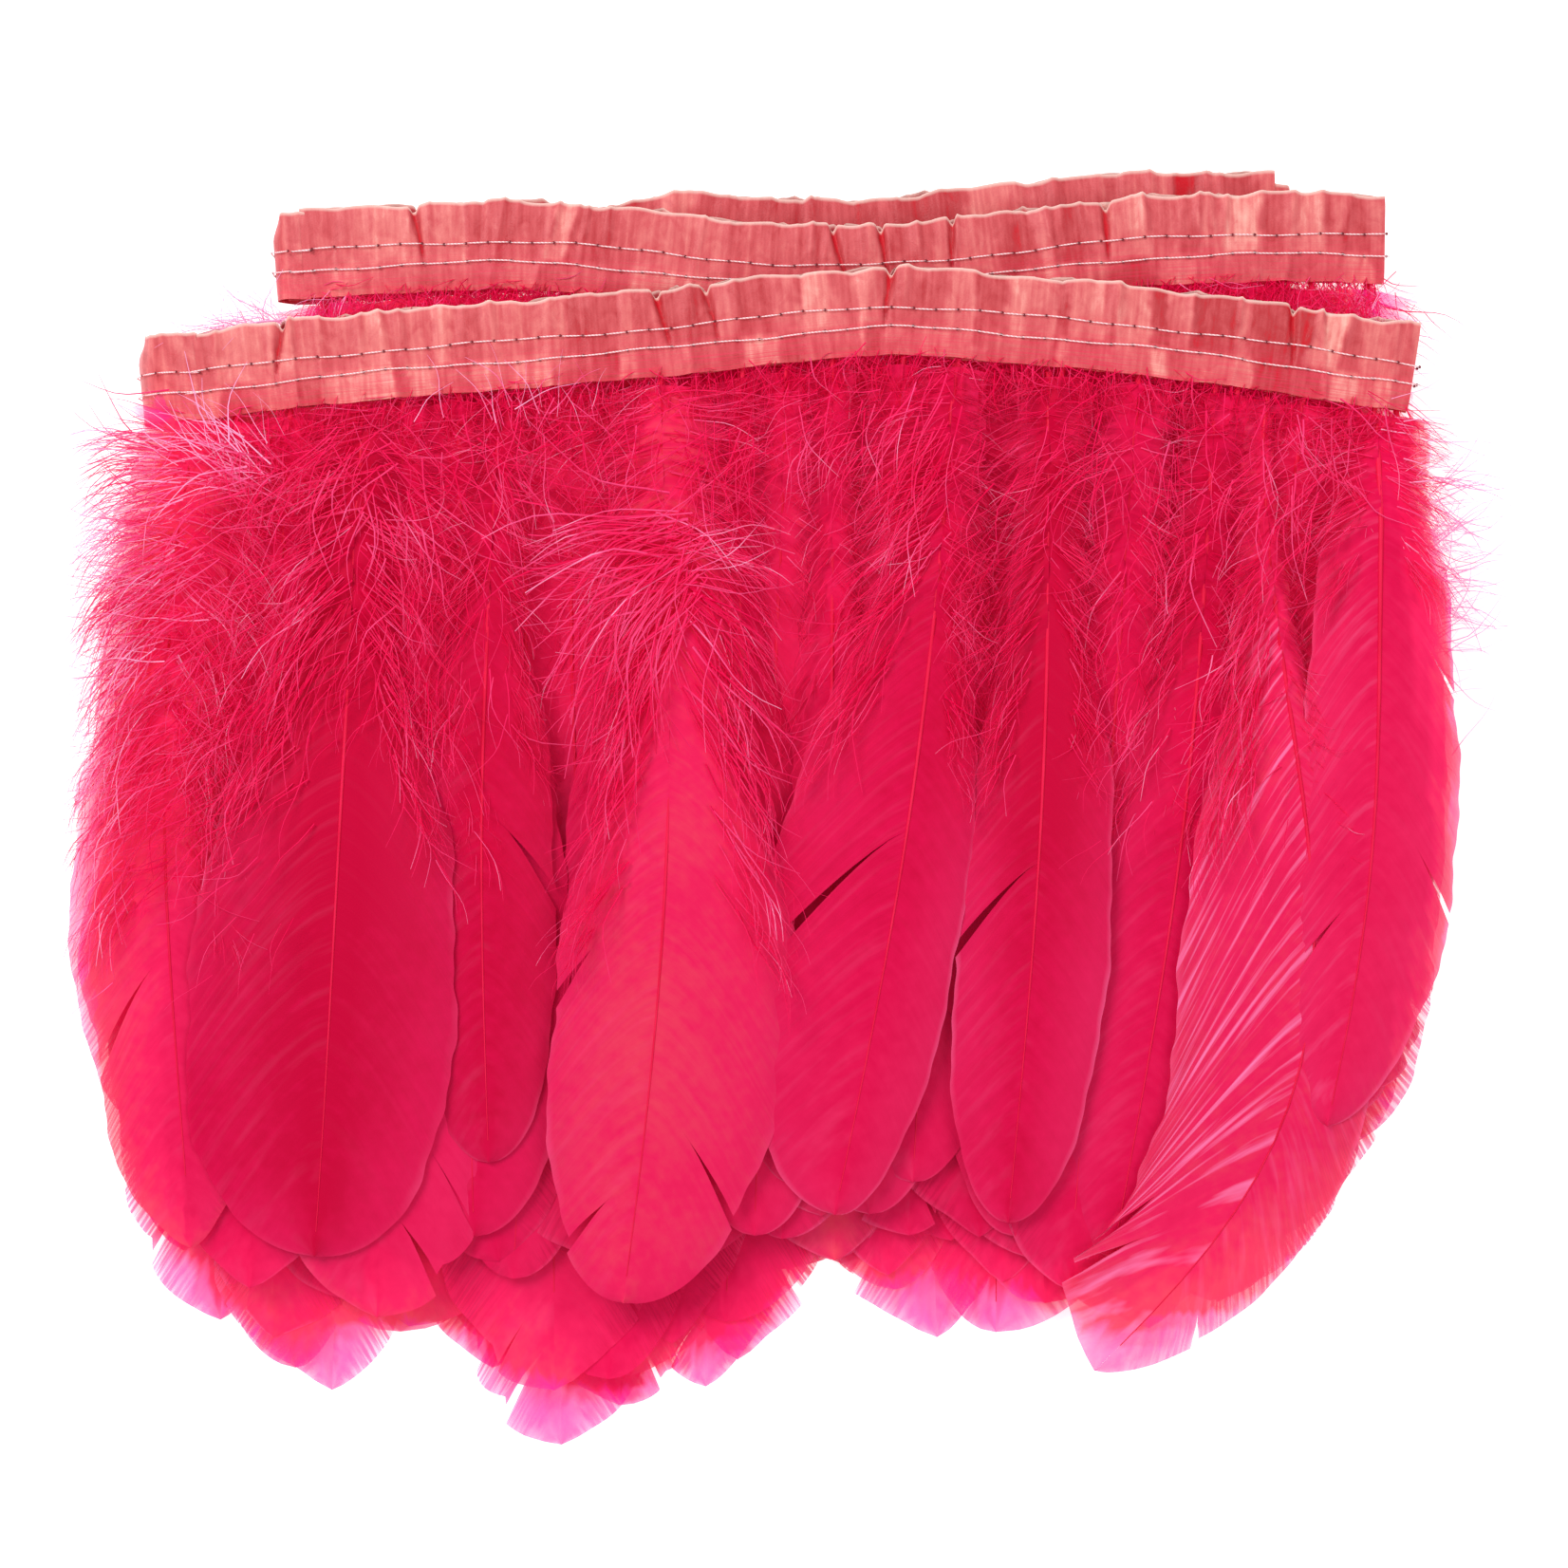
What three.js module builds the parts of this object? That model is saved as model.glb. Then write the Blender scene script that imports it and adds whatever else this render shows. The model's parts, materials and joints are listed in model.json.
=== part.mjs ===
// A feather fringe: goose feathers sewn side by side between two satin tapes, and the strip folded in half twice.
// It lies flat: the tapes run along X, the feathers point along -Y, and the four leaves are stacked along Z.
// From the top: front leaf, second leaf, third leaf, bottom leaf. The outer fold joins front and bottom on the
// left, the inner fold joins second and third on the left, and the end fold joins third and bottom on the right.
import * as THREE from "three";

// ---- driving dimensions, millimetres ----
const TAPE_WIDTH = 16; // 5/8 inch satin ribbon
const PLY = 0.4;
const PLY_GAP = 1.6; // the quills are held in it
const LEAF_PITCH = 6; // one leaf of feathers on the next
const TAPE_LEVEL = 2.8; // the tape's middle, above its leaf's underside
const GAP = 0.3; // between pieces that touch
const THREAD = 0.4;
const UPPER_ROW = 0.7; // the two rows of stitching, from the tape's middle
const LOWER_ROW = -3.0;

const QUILL = 0.5; // thickness of a quill where it is sewn in
const QUILL_WIDTH = 1.6;
const QUILL_SEWN = 11; // how far a quill goes up between the tapes
const BLADE = 2.2; // height of a blade at its shaft
const BACK_ROW = { blade: 0, quill: 2.15 }; // undersides, above the leaf's own underside
const FRONT_ROW = { blade: 3.1, quill: 2.95 };
const HINGE_BELOW_TAPE = 1; // the front feathers bend this far below the tape's edge
const HINGE_TO_BLADE = 1.2; // and their free part starts this far below that

const OUTER_FOLD_X = -109.2; // where the straight tape ends and the fold starts
const INNER_FOLD_X = -90.1;
const END_FOLD_X = 91.1;
const SWING_ROOM = { front: 2, second: 1.2 }; // the leaves that open start this far from their fold

const TAPE_STEPS = 18;
const FOLD_STEPS = 8;
const THREAD_STEPS = 18;

// ---- the four leaves ----
// level counts from the surface up. faceUp is 1 where the face tape is the upper ply, and -1 where it is the lower.
// route is the tape's middle line as (x, y).
const LEAVES = {
  bottom: {
    level: 0,
    faceUp: -1,
    route: [
      [OUTER_FOLD_X + GAP, 79],
      [-80, 80.5],
      [-45, 81],
      [-10, 87],
      [30, 99],
      [60, 105],
      [END_FOLD_X - GAP, 107],
    ],
  },
  third: {
    level: 1,
    faceUp: 1,
    route: [
      [INNER_FOLD_X + GAP, 102.4],
      [-55, 104.5],
      [-21, 105.5],
      [4, 103.2],
      [30, 105],
      [47, 107.2],
      [64, 108.4],
      [END_FOLD_X - GAP, 108.6],
    ],
  },
  second: {
    level: 2,
    faceUp: -1,
    route: [
      [INNER_FOLD_X + SWING_ROOM.second, 102.4],
      [-74, 103.5],
      [-46, 104.2],
      [-22, 102],
      [4, 99.6],
      [30, 100.9],
      [56, 104],
      [82, 105.6],
      [110.2, 105.4],
    ],
  },
  front: {
    level: 3,
    faceUp: 1,
    route: [
      [OUTER_FOLD_X + SWING_ROOM.front, 79.6],
      [-86, 82.3],
      [-56, 84.8],
      [-22, 87.6],
      [0, 90],
      [17, 91.7],
      [43, 89.9],
      [64, 88],
      [89, 84.8],
      [114.6, 80.9],
    ],
  },
};

// Feathers: x of the root, length below the tape, width of the blade, and lean, how far the tip is to the right of
// the root. The front ones are free to lift; the others are held under them.
const FRONT_FEATHERS = [
  { x: -107, length: 146, width: 24, lean: 0 },
  { x: -77, length: 152, width: 35, lean: 0 },
  { x: -23, length: 165, width: 41, lean: -5 },
  { x: 31, length: 152, width: 30, lean: -17 },
  { x: 48, length: 154, width: 17, lean: -2 },
  { x: 88, length: 174, width: 28, lean: -24 },
  { x: 108.2, length: 118, width: 25, lean: -1 },
];
const FRONT_UNDER_FEATHERS = [
  { x: -98, length: 150, width: 28, lean: -4 },
  { x: -60, length: 158, width: 38, lean: -3 },
  { x: -12, length: 160, width: 40, lean: -3 },
  { x: 20, length: 155, width: 22, lean: -4 },
  { x: 59, length: 160, width: 28, lean: -4 },
  { x: 90, length: 150, width: 25, lean: 1 },
  { x: 111, length: 110, width: 15, lean: 1 },
];
// Back and front rows of the three lower leaves.
const SECOND_FEATHERS = {
  back: [
    { x: -70, length: 176, width: 42, lean: -2 },
    { x: -24, length: 180, width: 43, lean: -2 },
    { x: 22, length: 172, width: 43, lean: 0 },
    { x: 70, length: 168, width: 42, lean: 6 },
  ],
  front: [
    { x: -48, length: 184, width: 43, lean: -3 },
    { x: 0, length: 172, width: 43, lean: 0 },
    { x: 46, length: 180, width: 42, lean: 0 },
    { x: 93, length: 160, width: 38, lean: 5 },
  ],
};
const THIRD_FEATHERS = {
  back: [
    { x: -68, length: 182, width: 43, lean: -4 },
    { x: -22, length: 186, width: 43, lean: -2 },
    { x: 24, length: 184, width: 43, lean: 0 },
    { x: 74, length: 166, width: 43, lean: 10 },
  ],
  front: [
    { x: -44, length: 190, width: 43, lean: -2 },
    { x: 2, length: 180, width: 43, lean: 2 },
    { x: 48, length: 188, width: 42, lean: 4 },
    { x: 84, length: 150, width: 28, lean: 17 },
  ],
};
const BOTTOM_FEATHERS = {
  back: [
    { x: -96, length: 156, width: 38, lean: -2 },
    { x: -50, length: 192, width: 42, lean: 3 },
    { x: -2, length: 174, width: 44, lean: -1 },
    { x: 60, length: 176, width: 44, lean: 22 },
  ],
  front: [
    { x: -76, length: 174, width: 42, lean: -10 },
    { x: -28, length: 180, width: 43, lean: 8 },
    { x: 28, length: 180, width: 43, lean: 4 },
    { x: 80, length: 170, width: 42, lean: 20 },
  ],
};
const REACH = 116.6; // the longest feather's tip is this far below the origin

// ---- materials ----
const satin = new THREE.MeshStandardMaterial({ color: 0xe9606c, roughness: 0.42, metalness: 0 });
const cotton = new THREE.MeshStandardMaterial({ color: 0xf3d3dc, roughness: 0.8, metalness: 0 });
const feather = new THREE.MeshStandardMaterial({ color: 0xe0103f, roughness: 0.7, metalness: 0 });

const part = new THREE.Group();

function addPiece(name, geometry, material, x = 0, y = 0, z = 0) {
  const mesh = new THREE.Mesh(geometry, material);
  mesh.name = name;
  mesh.position.set(x, y, z);
  part.add(mesh);
}

// ---- shapes ----
// A closed skin over a row of rings, each with the same number of corners, turned so that it faces out.
function loft(rings) {
  const corners = rings[0].length;
  const last = (rings.length - 1) * corners;
  const index = [];
  for (let i = 0; i + 1 < rings.length; i++) {
    for (let j = 0; j < corners; j++) {
      const a = i * corners + j;
      const b = i * corners + ((j + 1) % corners);
      index.push(a, b, a + corners, b, b + corners, a + corners);
    }
  }
  for (let j = 1; j + 1 < corners; j++) {
    index.push(0, j + 1, j, last, last + j, last + j + 1);
  }
  const points = rings.flat();
  let volume = 0;
  for (let i = 0; i < index.length; i += 3) {
    const [a, b, c] = [0, 1, 2].map((k) => points[index[i + k]]);
    volume += a.dot(b.clone().cross(c));
  }
  if (volume < 0) index.reverse();
  const geometry = new THREE.BufferGeometry().setFromPoints(points).setIndex(index);
  geometry.computeVertexNormals();
  return geometry;
}

// Four corners of a flat band: across is its width direction and up its thickness direction.
function bandRing(centre, across, up, width, thickness) {
  const corner = (s, t) =>
    centre.clone().addScaledVector(across, (s * width) / 2).addScaledVector(up, (t * thickness) / 2);
  return [corner(-1, -1), corner(1, -1), corner(1, 1), corner(-1, 1)];
}

const UP = new THREE.Vector3(0, 0, 1);

function routeOf(leaf) {
  return new THREE.CatmullRomCurve3(leaf.route.map(([x, y]) => new THREE.Vector3(x, y, 0)));
}

// The direction across the tape, towards +Y, at the share u of its route.
function acrossAt(route, u) {
  return UP.clone().cross(route.getTangentAt(u)).normalize();
}

// A band along a leaf's tape. offset moves it across the tape and z is its middle's height.
function band(leaf, steps, offset, z, width, thickness) {
  const route = routeOf(leaf);
  const rings = [];
  for (let i = 0; i <= steps; i++) {
    const across = acrossAt(route, i / steps);
    const centre = route.getPointAt(i / steps).addScaledVector(across, offset).setZ(z);
    rings.push(bandRing(centre, across, UP, width, thickness));
  }
  return loft(rings);
}

// A ply that turns half round from one leaf's end to another's. side is -1 on the left and 1 on the right.
function foldBand(lower, upper, x, side, radius) {
  const ends = [lower, upper].map((leaf) => {
    const route = routeOf(leaf);
    const u = side > 0 ? 1 : 0;
    return { y: route.getPointAt(u).y, across: acrossAt(route, u) };
  });
  const middle = (tapeHeight(lower) + tapeHeight(upper)) / 2;
  const rings = [];
  for (let i = 0; i <= FOLD_STEPS; i++) {
    const share = i / FOLD_STEPS;
    const turn = (share - 0.5) * Math.PI;
    const out = new THREE.Vector3(side * Math.cos(turn), 0, Math.sin(turn));
    const across = ends[0].across.clone().lerp(ends[1].across, share).normalize();
    const y = THREE.MathUtils.lerp(ends[0].y, ends[1].y, share);
    const centre = new THREE.Vector3(x, y, middle).addScaledVector(out, radius);
    rings.push(bandRing(centre, across, out, TAPE_WIDTH, PLY));
  }
  return loft(rings);
}

function tapeHeight(leaf) {
  return leaf.level * LEAF_PITCH + TAPE_LEVEL;
}

// Where the tape's lower edge is at a given x.
function lowerEdge(leaf, x) {
  const route = routeOf(leaf);
  const points = route.getSpacedPoints(200);
  const i = Math.max(1, points.findIndex((p) => p.x >= x));
  const share = (x - points[i - 1].x) / (points[i].x - points[i - 1].x);
  return THREE.MathUtils.lerp(points[i - 1].y, points[i].y, share) - TAPE_WIDTH / 2;
}

// Share of the full width that the blade has at the share t of its length.
function outline(t) {
  const widest = 0.62;
  if (t < widest) return 1 - ((widest - t) / widest) ** 2.2;
  return Math.sqrt(1 - ((t - widest) / (1 - widest)) ** 2.4);
}

// Share of the blade's height, from the thin tip to the neck.
function crown(t) {
  return Math.min(1, 0.3 + 3 * t) * (1 - 0.55 * t ** 4);
}

const BLADE_SHARES = [0.02, 0.07, 0.14, 0.24, 0.36, 0.48, 0.6, 0.72, 0.82, 0.9, 0.96, 0.995];
const NECK_END = 0.14; // the quill has come down to the blade's own level here

// A flat-bottomed feather with its root at its own origin, pointing along -Y. row gives the heights of its
// undersides, and sewn is how much of the quill goes up between the tapes.
function featherGeometry({ length, width, lean }, row, sewn, start) {
  const ring = (x, y, bottom, wide, high) => [
    new THREE.Vector3(x - wide / 2, y, bottom),
    new THREE.Vector3(x + wide / 2, y, bottom),
    new THREE.Vector3(x + wide / 4, y, bottom + 0.62 * high),
    new THREE.Vector3(x, y, bottom + high),
    new THREE.Vector3(x - wide / 4, y, bottom + 0.62 * high),
  ];
  const rings = [];
  if (sewn > 0) {
    rings.push(ring(0, sewn, row.quill, QUILL_WIDTH, QUILL));
    rings.push(ring(0, 0.5, row.quill, QUILL_WIDTH, QUILL));
  }
  for (const t of BLADE_SHARES) {
    const down = Math.min(1, t / NECK_END);
    const bottom = THREE.MathUtils.lerp(row.quill, row.blade, down);
    const wide = Math.max(QUILL_WIDTH, width * outline(t));
    const high = Math.max(QUILL, BLADE * crown(t) * down);
    rings.push(ring(lean * t, -start - t * (length - start), bottom, wide, high));
  }
  return loft(rings);
}

// ---- tapes and stitching of the four leaves ----
for (const [name, leaf] of Object.entries(LEAVES)) {
  const height = tapeHeight(leaf);
  const ply = (PLY_GAP + PLY) / 2;
  const thread = height + ply + PLY / 2 + GAP + THREAD / 2;
  const tape = (side) => band(leaf, TAPE_STEPS, 0, height + side * ply, TAPE_WIDTH, PLY);
  addPiece(`${name}_leaf_face_tape`, tape(leaf.faceUp), satin);
  addPiece(`${name}_leaf_back_tape`, tape(-leaf.faceUp), satin);
  const row = (offset) => band(leaf, THREAD_STEPS, offset, thread, THREAD, THREAD);
  addPiece(`${name}_leaf_upper_stitching`, row(UPPER_ROW), cotton);
  addPiece(`${name}_leaf_lower_stitching`, row(LOWER_ROW), cotton);
}

// ---- folds ----
// faceOutside says whether the face tape is on the outside of the bend.
const FOLDS = [
  { name: "outer_fold", lower: "bottom", upper: "front", x: OUTER_FOLD_X, side: -1, faceOutside: true },
  { name: "inner_fold", lower: "third", upper: "second", x: INNER_FOLD_X, side: -1, faceOutside: false },
  { name: "end_fold", lower: "bottom", upper: "third", x: END_FOLD_X, side: 1, faceOutside: true },
];
for (const { name, lower, upper, x, side, faceOutside } of FOLDS) {
  const [low, high] = [LEAVES[lower], LEAVES[upper]];
  const radius = (tapeHeight(high) - tapeHeight(low)) / 2;
  const ply = ((PLY_GAP + PLY) / 2) * (faceOutside ? 1 : -1);
  addPiece(`${name}_face_tape`, foldBand(low, high, x, side, radius + ply), satin);
  addPiece(`${name}_back_tape`, foldBand(low, high, x, side, radius - ply), satin);
}

// ---- feathers ----
function addFeather(name, leaf, spec, row, hinged) {
  const y = lowerEdge(leaf, spec.x) - (hinged ? HINGE_BELOW_TAPE : 0);
  const length = Math.min(spec.length, (REACH + y) / BLADE_SHARES.at(-1));
  const sewn = hinged ? 0 : QUILL_SEWN;
  const start = hinged ? HINGE_TO_BLADE : 0;
  const geometry = featherGeometry({ ...spec, length }, row, sewn, start);
  addPiece(name, geometry, feather, spec.x, y, leaf.level * LEAF_PITCH);
}

FRONT_FEATHERS.forEach((spec, i) =>
  addFeather(`front_feather_${i + 1}`, LEAVES.front, spec, FRONT_ROW, true),
);
FRONT_UNDER_FEATHERS.forEach((spec, i) =>
  addFeather(`front_under_feather_${i + 1}`, LEAVES.front, spec, BACK_ROW, false),
);
for (const [name, rows] of Object.entries({
  second: SECOND_FEATHERS,
  third: THIRD_FEATHERS,
  bottom: BOTTOM_FEATHERS,
})) {
  rows.back.forEach((spec, i) =>
    addFeather(`${name}_leaf_feather_${i + 1}`, LEAVES[name], spec, BACK_ROW, false),
  );
  rows.front.forEach((spec, i) =>
    addFeather(`${name}_leaf_feather_${i + 5}`, LEAVES[name], spec, FRONT_ROW, false),
  );
}

export default part;
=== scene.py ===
"""A goose-feather fringe on satin tape, folded in half twice and laid flat.

Lengths in the design tables are millimetres and angles are degrees; the meshes are in metres. +X runs along
the tapes, -Y from the tapes to the feather tips, and +Z up through the leaves: bottom, third, second, front.
"""
import json
import math

import bmesh
import bpy
import numpy as np
from mathutils import Matrix, Vector


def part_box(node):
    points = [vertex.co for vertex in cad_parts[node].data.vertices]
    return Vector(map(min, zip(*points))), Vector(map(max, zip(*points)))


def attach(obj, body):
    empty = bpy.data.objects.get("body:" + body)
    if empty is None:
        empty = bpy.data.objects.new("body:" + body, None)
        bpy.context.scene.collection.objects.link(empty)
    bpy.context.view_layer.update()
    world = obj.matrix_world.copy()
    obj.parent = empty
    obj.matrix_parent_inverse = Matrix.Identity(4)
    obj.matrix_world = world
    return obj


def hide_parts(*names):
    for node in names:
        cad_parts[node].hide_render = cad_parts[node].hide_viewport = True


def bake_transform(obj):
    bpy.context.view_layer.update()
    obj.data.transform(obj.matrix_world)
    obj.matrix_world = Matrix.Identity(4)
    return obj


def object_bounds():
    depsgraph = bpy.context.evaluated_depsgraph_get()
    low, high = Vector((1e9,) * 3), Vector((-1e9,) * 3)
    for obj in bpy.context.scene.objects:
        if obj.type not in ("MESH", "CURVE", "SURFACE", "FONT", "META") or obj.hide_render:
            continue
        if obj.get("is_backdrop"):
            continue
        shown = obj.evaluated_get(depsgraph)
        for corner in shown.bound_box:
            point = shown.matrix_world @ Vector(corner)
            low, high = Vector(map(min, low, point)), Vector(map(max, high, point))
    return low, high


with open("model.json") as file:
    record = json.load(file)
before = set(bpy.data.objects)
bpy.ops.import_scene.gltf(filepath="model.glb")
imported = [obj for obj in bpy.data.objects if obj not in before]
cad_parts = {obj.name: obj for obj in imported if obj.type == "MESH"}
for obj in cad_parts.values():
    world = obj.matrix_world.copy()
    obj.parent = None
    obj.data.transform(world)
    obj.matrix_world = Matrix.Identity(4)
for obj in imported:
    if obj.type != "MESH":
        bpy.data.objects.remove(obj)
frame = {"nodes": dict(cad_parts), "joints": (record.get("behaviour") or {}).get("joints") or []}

CAD_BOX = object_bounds()
MM = 0.001

# ---- the strip ----
TAPE_WIDTH = 16.0
UPPER_ROW, LOWER_ROW = 0.7, -3.0   # the two seams, from the tape's middle
STITCH_PITCH = 4.0
THREAD_RADIUS = 0.14
HOLE_RADIUS = 0.28
SEAM_ROWS = {"upper": (UPPER_ROW, 2.7), "lower": (LOWER_ROW, 3.7)}   # place across the tape, stitch length
SATIN_STEP = {"front": 0.33, "second": 0.33, "third": 0.6, "bottom": 0.5}   # mesh size along each tape
SATIN_COLUMNS = 17
PROUD = {"front": 0.0, "second": 0.3, "third": 2.2, "bottom": 2.8}   # how far a tape stands off its seam
PROUD_STRETCH = (-34.0, -16.0)   # left of this the rear tapes lie behind the second one

# ---- feathers ----
SHAFT_RADIUS = 0.55
BARB_ROWS = {"fine": 170, "plain": 104}      # barbs drawn along each side of a feather
BARB_COLUMNS = {"fine": 9, "plain": 6}
SETTLED = 0.5                # the pile's height at the tips, as a share of its height at the tapes
SETTLE_FROM, SETTLE_TO = 10.0, -100.0
LOWEST = 0.15                # nothing lies lower than this over the table

LEAF_BODY = {"front": "front_leaf", "second": "second_leaf", "third": "root", "bottom": "root"}


# ---- camera and lights ----
LENS, SENSOR = 85.0, 36.0
FRAME_WIDTH = 0.2858         # what the picture takes in at the height of the front leaf, in metres
LOOK_AT = (-0.0003, 0.0052, 0.022)
CLIP_END = 20
SKY = 0.55


def make_camera():
    camera = bpy.data.cameras.new("camera")
    camera.lens = LENS
    camera.sensor_width = SENSOR
    camera.clip_end = CLIP_END
    obj = bpy.data.objects.new("camera", camera)
    distance = FRAME_WIDTH * LENS / SENSOR
    obj.location = Vector(LOOK_AT) + Vector((0, 0, distance))
    bpy.context.scene.collection.objects.link(obj)
    bpy.context.scene.camera = obj


def area_light(name, place, size, power):
    light = bpy.data.lights.new(name, "AREA")
    light.shape = "DISK"
    light.size = size
    light.energy = power
    obj = bpy.data.objects.new(name, light)
    obj.location = place
    obj.rotation_euler = (-Vector(place)).to_track_quat("-Z", "Y").to_euler()
    bpy.context.scene.collection.objects.link(obj)


def make_light():
    world = bpy.data.worlds.new("studio")
    world.use_nodes = True
    world.node_tree.nodes["Background"].inputs[0].default_value = (1, 1, 1, 1)
    world.node_tree.nodes["Background"].inputs[1].default_value = SKY
    bpy.context.scene.world = world
    area_light("key", (-0.7, 0.75, 1.1), 0.8, 13)
    area_light("fill", (0.8, -0.3, 1.3), 1.0, 5)
    bpy.context.scene.view_settings.view_transform = "Standard"


make_camera()
make_light()


# ---- shaping helpers ----
def smooth(a, b, x):
    """0 up to a and 1 from b on, with an S between."""
    t = np.clip((x - a) / (b - a), 0, 1)
    return t * t * (3 - 2 * t)


def settle(points):
    """Lowers the pile towards the tips, where fewer feathers lie on each other."""
    share = smooth(SETTLE_FROM, SETTLE_TO, points[..., 1])
    points[..., 2] *= 1 - (1 - SETTLED) * share
    points[..., 2] = np.maximum(points[..., 2], LOWEST)
    return points


# ---- meshes ----
class Skin:
    """Gathers the surfaces of one piece, in millimetres, and makes its mesh."""

    def __init__(self):
        self.points, self.faces, self.uv, self.slots, self.values = [], [], [], [], []
        self.count = 0

    def grid(self, points, uv, slot=0, keep=None, closed=False, **values):
        """A sheet from rows of points; keep says which cells have a face, and values become attributes."""
        rows, columns = points.shape[:2]
        index = self.count + np.arange(rows * columns).reshape(rows, columns)
        following = np.roll(index, -1, axis=1) if closed else index[:, 1:]
        start = index if closed else index[:, :-1]
        cells = np.stack([start[:-1], following[:-1], following[1:], start[1:]], axis=-1)
        cells = cells[keep] if keep is not None else cells.reshape(-1, 4)
        self.points.append(points.reshape(-1, 3))
        self.uv.append(uv.reshape(-1, 2))
        self.values.append(values)
        self.faces.append(cells)
        self.slots.append(np.full(len(cells), slot))
        self.count += rows * columns

    def piece(self, name, materials):
        points = np.concatenate(self.points) * MM
        faces = np.concatenate(self.faces)
        mesh = bpy.data.meshes.new(name)
        mesh.from_pydata(points.tolist(), [], faces.tolist())
        layer = mesh.uv_layers.new(name="UVMap")
        uv = np.concatenate(self.uv)
        layer.data.foreach_set("uv", uv[faces.reshape(-1)].reshape(-1).astype(np.float32))
        for label in self.values[0]:
            column = np.concatenate([values[label].reshape(-1) for values in self.values])
            attribute = mesh.attributes.new(label, "FLOAT", "POINT")
            attribute.data.foreach_set("value", column.astype(np.float32))
        mesh.polygons.foreach_set("material_index", np.concatenate(self.slots).astype(np.int32))
        mesh.polygons.foreach_set("use_smooth", np.ones(len(faces), bool))
        for material in materials:
            mesh.materials.append(material)
        weld = bmesh.new()
        weld.from_mesh(mesh)
        bmesh.ops.remove_doubles(weld, verts=weld.verts, dist=1e-7)
        weld.to_mesh(mesh)
        weld.free()
        obj = bpy.data.objects.new(name, mesh)
        bpy.context.scene.collection.objects.link(obj)
        return obj


# ---- the route of each tape, read from the frame ----
class Route:
    """The middle line of a leaf's tape in plan, with the heights of its two plies."""

    def __init__(self, leaf):
        face, back = (f"{leaf}_leaf_{ply}_tape" for ply in ("face", "back"))
        corners = np.array([v.co for v in frame["nodes"][face].data.vertices]) / MM
        corners = corners[np.argsort(corners[:, 0])]
        ring_ends = np.nonzero(np.diff(corners[:, 0]) > TAPE_WIDTH / 4)[0] + 1
        rings = np.split(corners, ring_ends)
        middle = np.array([(r.min(0) + r.max(0))[:2] / 2 for r in rings])
        steps = np.linalg.norm(np.diff(middle, axis=0), axis=1)
        self.knots = np.concatenate([[0], np.cumsum(steps)])
        self.middle = middle
        self.length = self.knots[-1]
        heights = [[c.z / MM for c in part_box(node)] for node in (face, back)]
        self.face_z, self.back_z = (sum(h) / 2 for h in heights)
        self.top_z = max(self.face_z, self.back_z)
        self.low_z = min(self.face_z, self.back_z)

    def at(self, u):
        """(points, across) at the distances u along the tape, both in plan."""
        u = np.asarray(u, float)
        blur = np.array([-6, -3, 0, 3, 6])
        along = np.clip(u[..., None] + blur, 0, self.length)
        line = [np.interp(along, self.knots, self.middle[:, k]).mean(-1) for k in (0, 1)]
        ahead = np.clip(u[..., None] + np.array([4.0, -4.0]), 0, self.length)
        ends = [np.interp(ahead, self.knots, self.middle[:, k]) for k in (0, 1)]
        run = np.stack([e[..., 0] - e[..., 1] for e in ends], -1)
        run /= np.linalg.norm(run, axis=-1, keepdims=True)
        exact = [np.interp(u, self.knots, self.middle[:, k]) for k in (0, 1)]
        near_end = 1 - smooth(0, 8, np.minimum(u, self.length - u))
        point = np.stack([a + (b - a) * near_end for a, b in zip(line, exact)], -1)
        return point, np.stack([-run[..., 1], run[..., 0]], -1)

    def lower_edge(self, x):
        """y of the tape's lower edge at x."""
        u = np.interp(x, self.middle[:, 0], self.knots)
        point, across = self.at(u)
        return float(point[1] - across[1] * TAPE_WIDTH / 2)


ROUTES = {leaf: Route(leaf) for leaf in LEAF_BODY}


# ---- shader groups ----
def group(name, inputs, outputs):
    tree = bpy.data.node_groups.new(name, "ShaderNodeTree")
    for label, kind, value in inputs:
        socket = tree.interface.new_socket(label, in_out="INPUT", socket_type=kind)
        if value is not None:
            socket.default_value = value
    for label, kind in outputs:
        tree.interface.new_socket(label, in_out="OUTPUT", socket_type=kind)
    return tree, tree.nodes.new("NodeGroupInput"), tree.nodes.new("NodeGroupOutput")


def node(tree, kind, inputs=(), **settings):
    """A node with its settings, and its inputs by name or number: a value, or a socket to link from."""
    made = tree.nodes.new(kind)
    for key, value in settings.items():
        setattr(made, key, value)
    for key, value in dict(inputs).items():
        if isinstance(value, bpy.types.NodeSocket):
            tree.links.new(value, made.inputs[key])
        else:
            made.inputs[key].default_value = value
    return made


def maths(tree, operation, a, b=0.0, clamp=False):
    return node(tree, "ShaderNodeMath", {0: a, 1: b}, operation=operation, use_clamp=clamp).outputs[0]


def plus(tree, a, b, clamp=False):
    return maths(tree, "ADD", a, b, clamp)


def minus(tree, a, b, clamp=False):
    return maths(tree, "SUBTRACT", a, b, clamp)


def times(tree, a, b, clamp=False):
    return maths(tree, "MULTIPLY", a, b, clamp)


def swing(tree, value, depth):
    """A noise value as a change of up to half the depth, up or down."""
    return times(tree, minus(tree, value, 0.5), depth)


def noise(tree, place, detail, **inputs):
    """The value of a noise texture at a place."""
    made = node(tree, "ShaderNodeTexNoise", {"Vector": place, "Scale": 1.0, "Detail": detail, **inputs})
    return made.outputs[0]


def blend_colour(tree, share, a, b, mode="MIX"):
    made = node(tree, "ShaderNodeMix", {0: share, 6: a, 7: b}, data_type="RGBA", blend_type=mode)
    return made.outputs[2]


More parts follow.
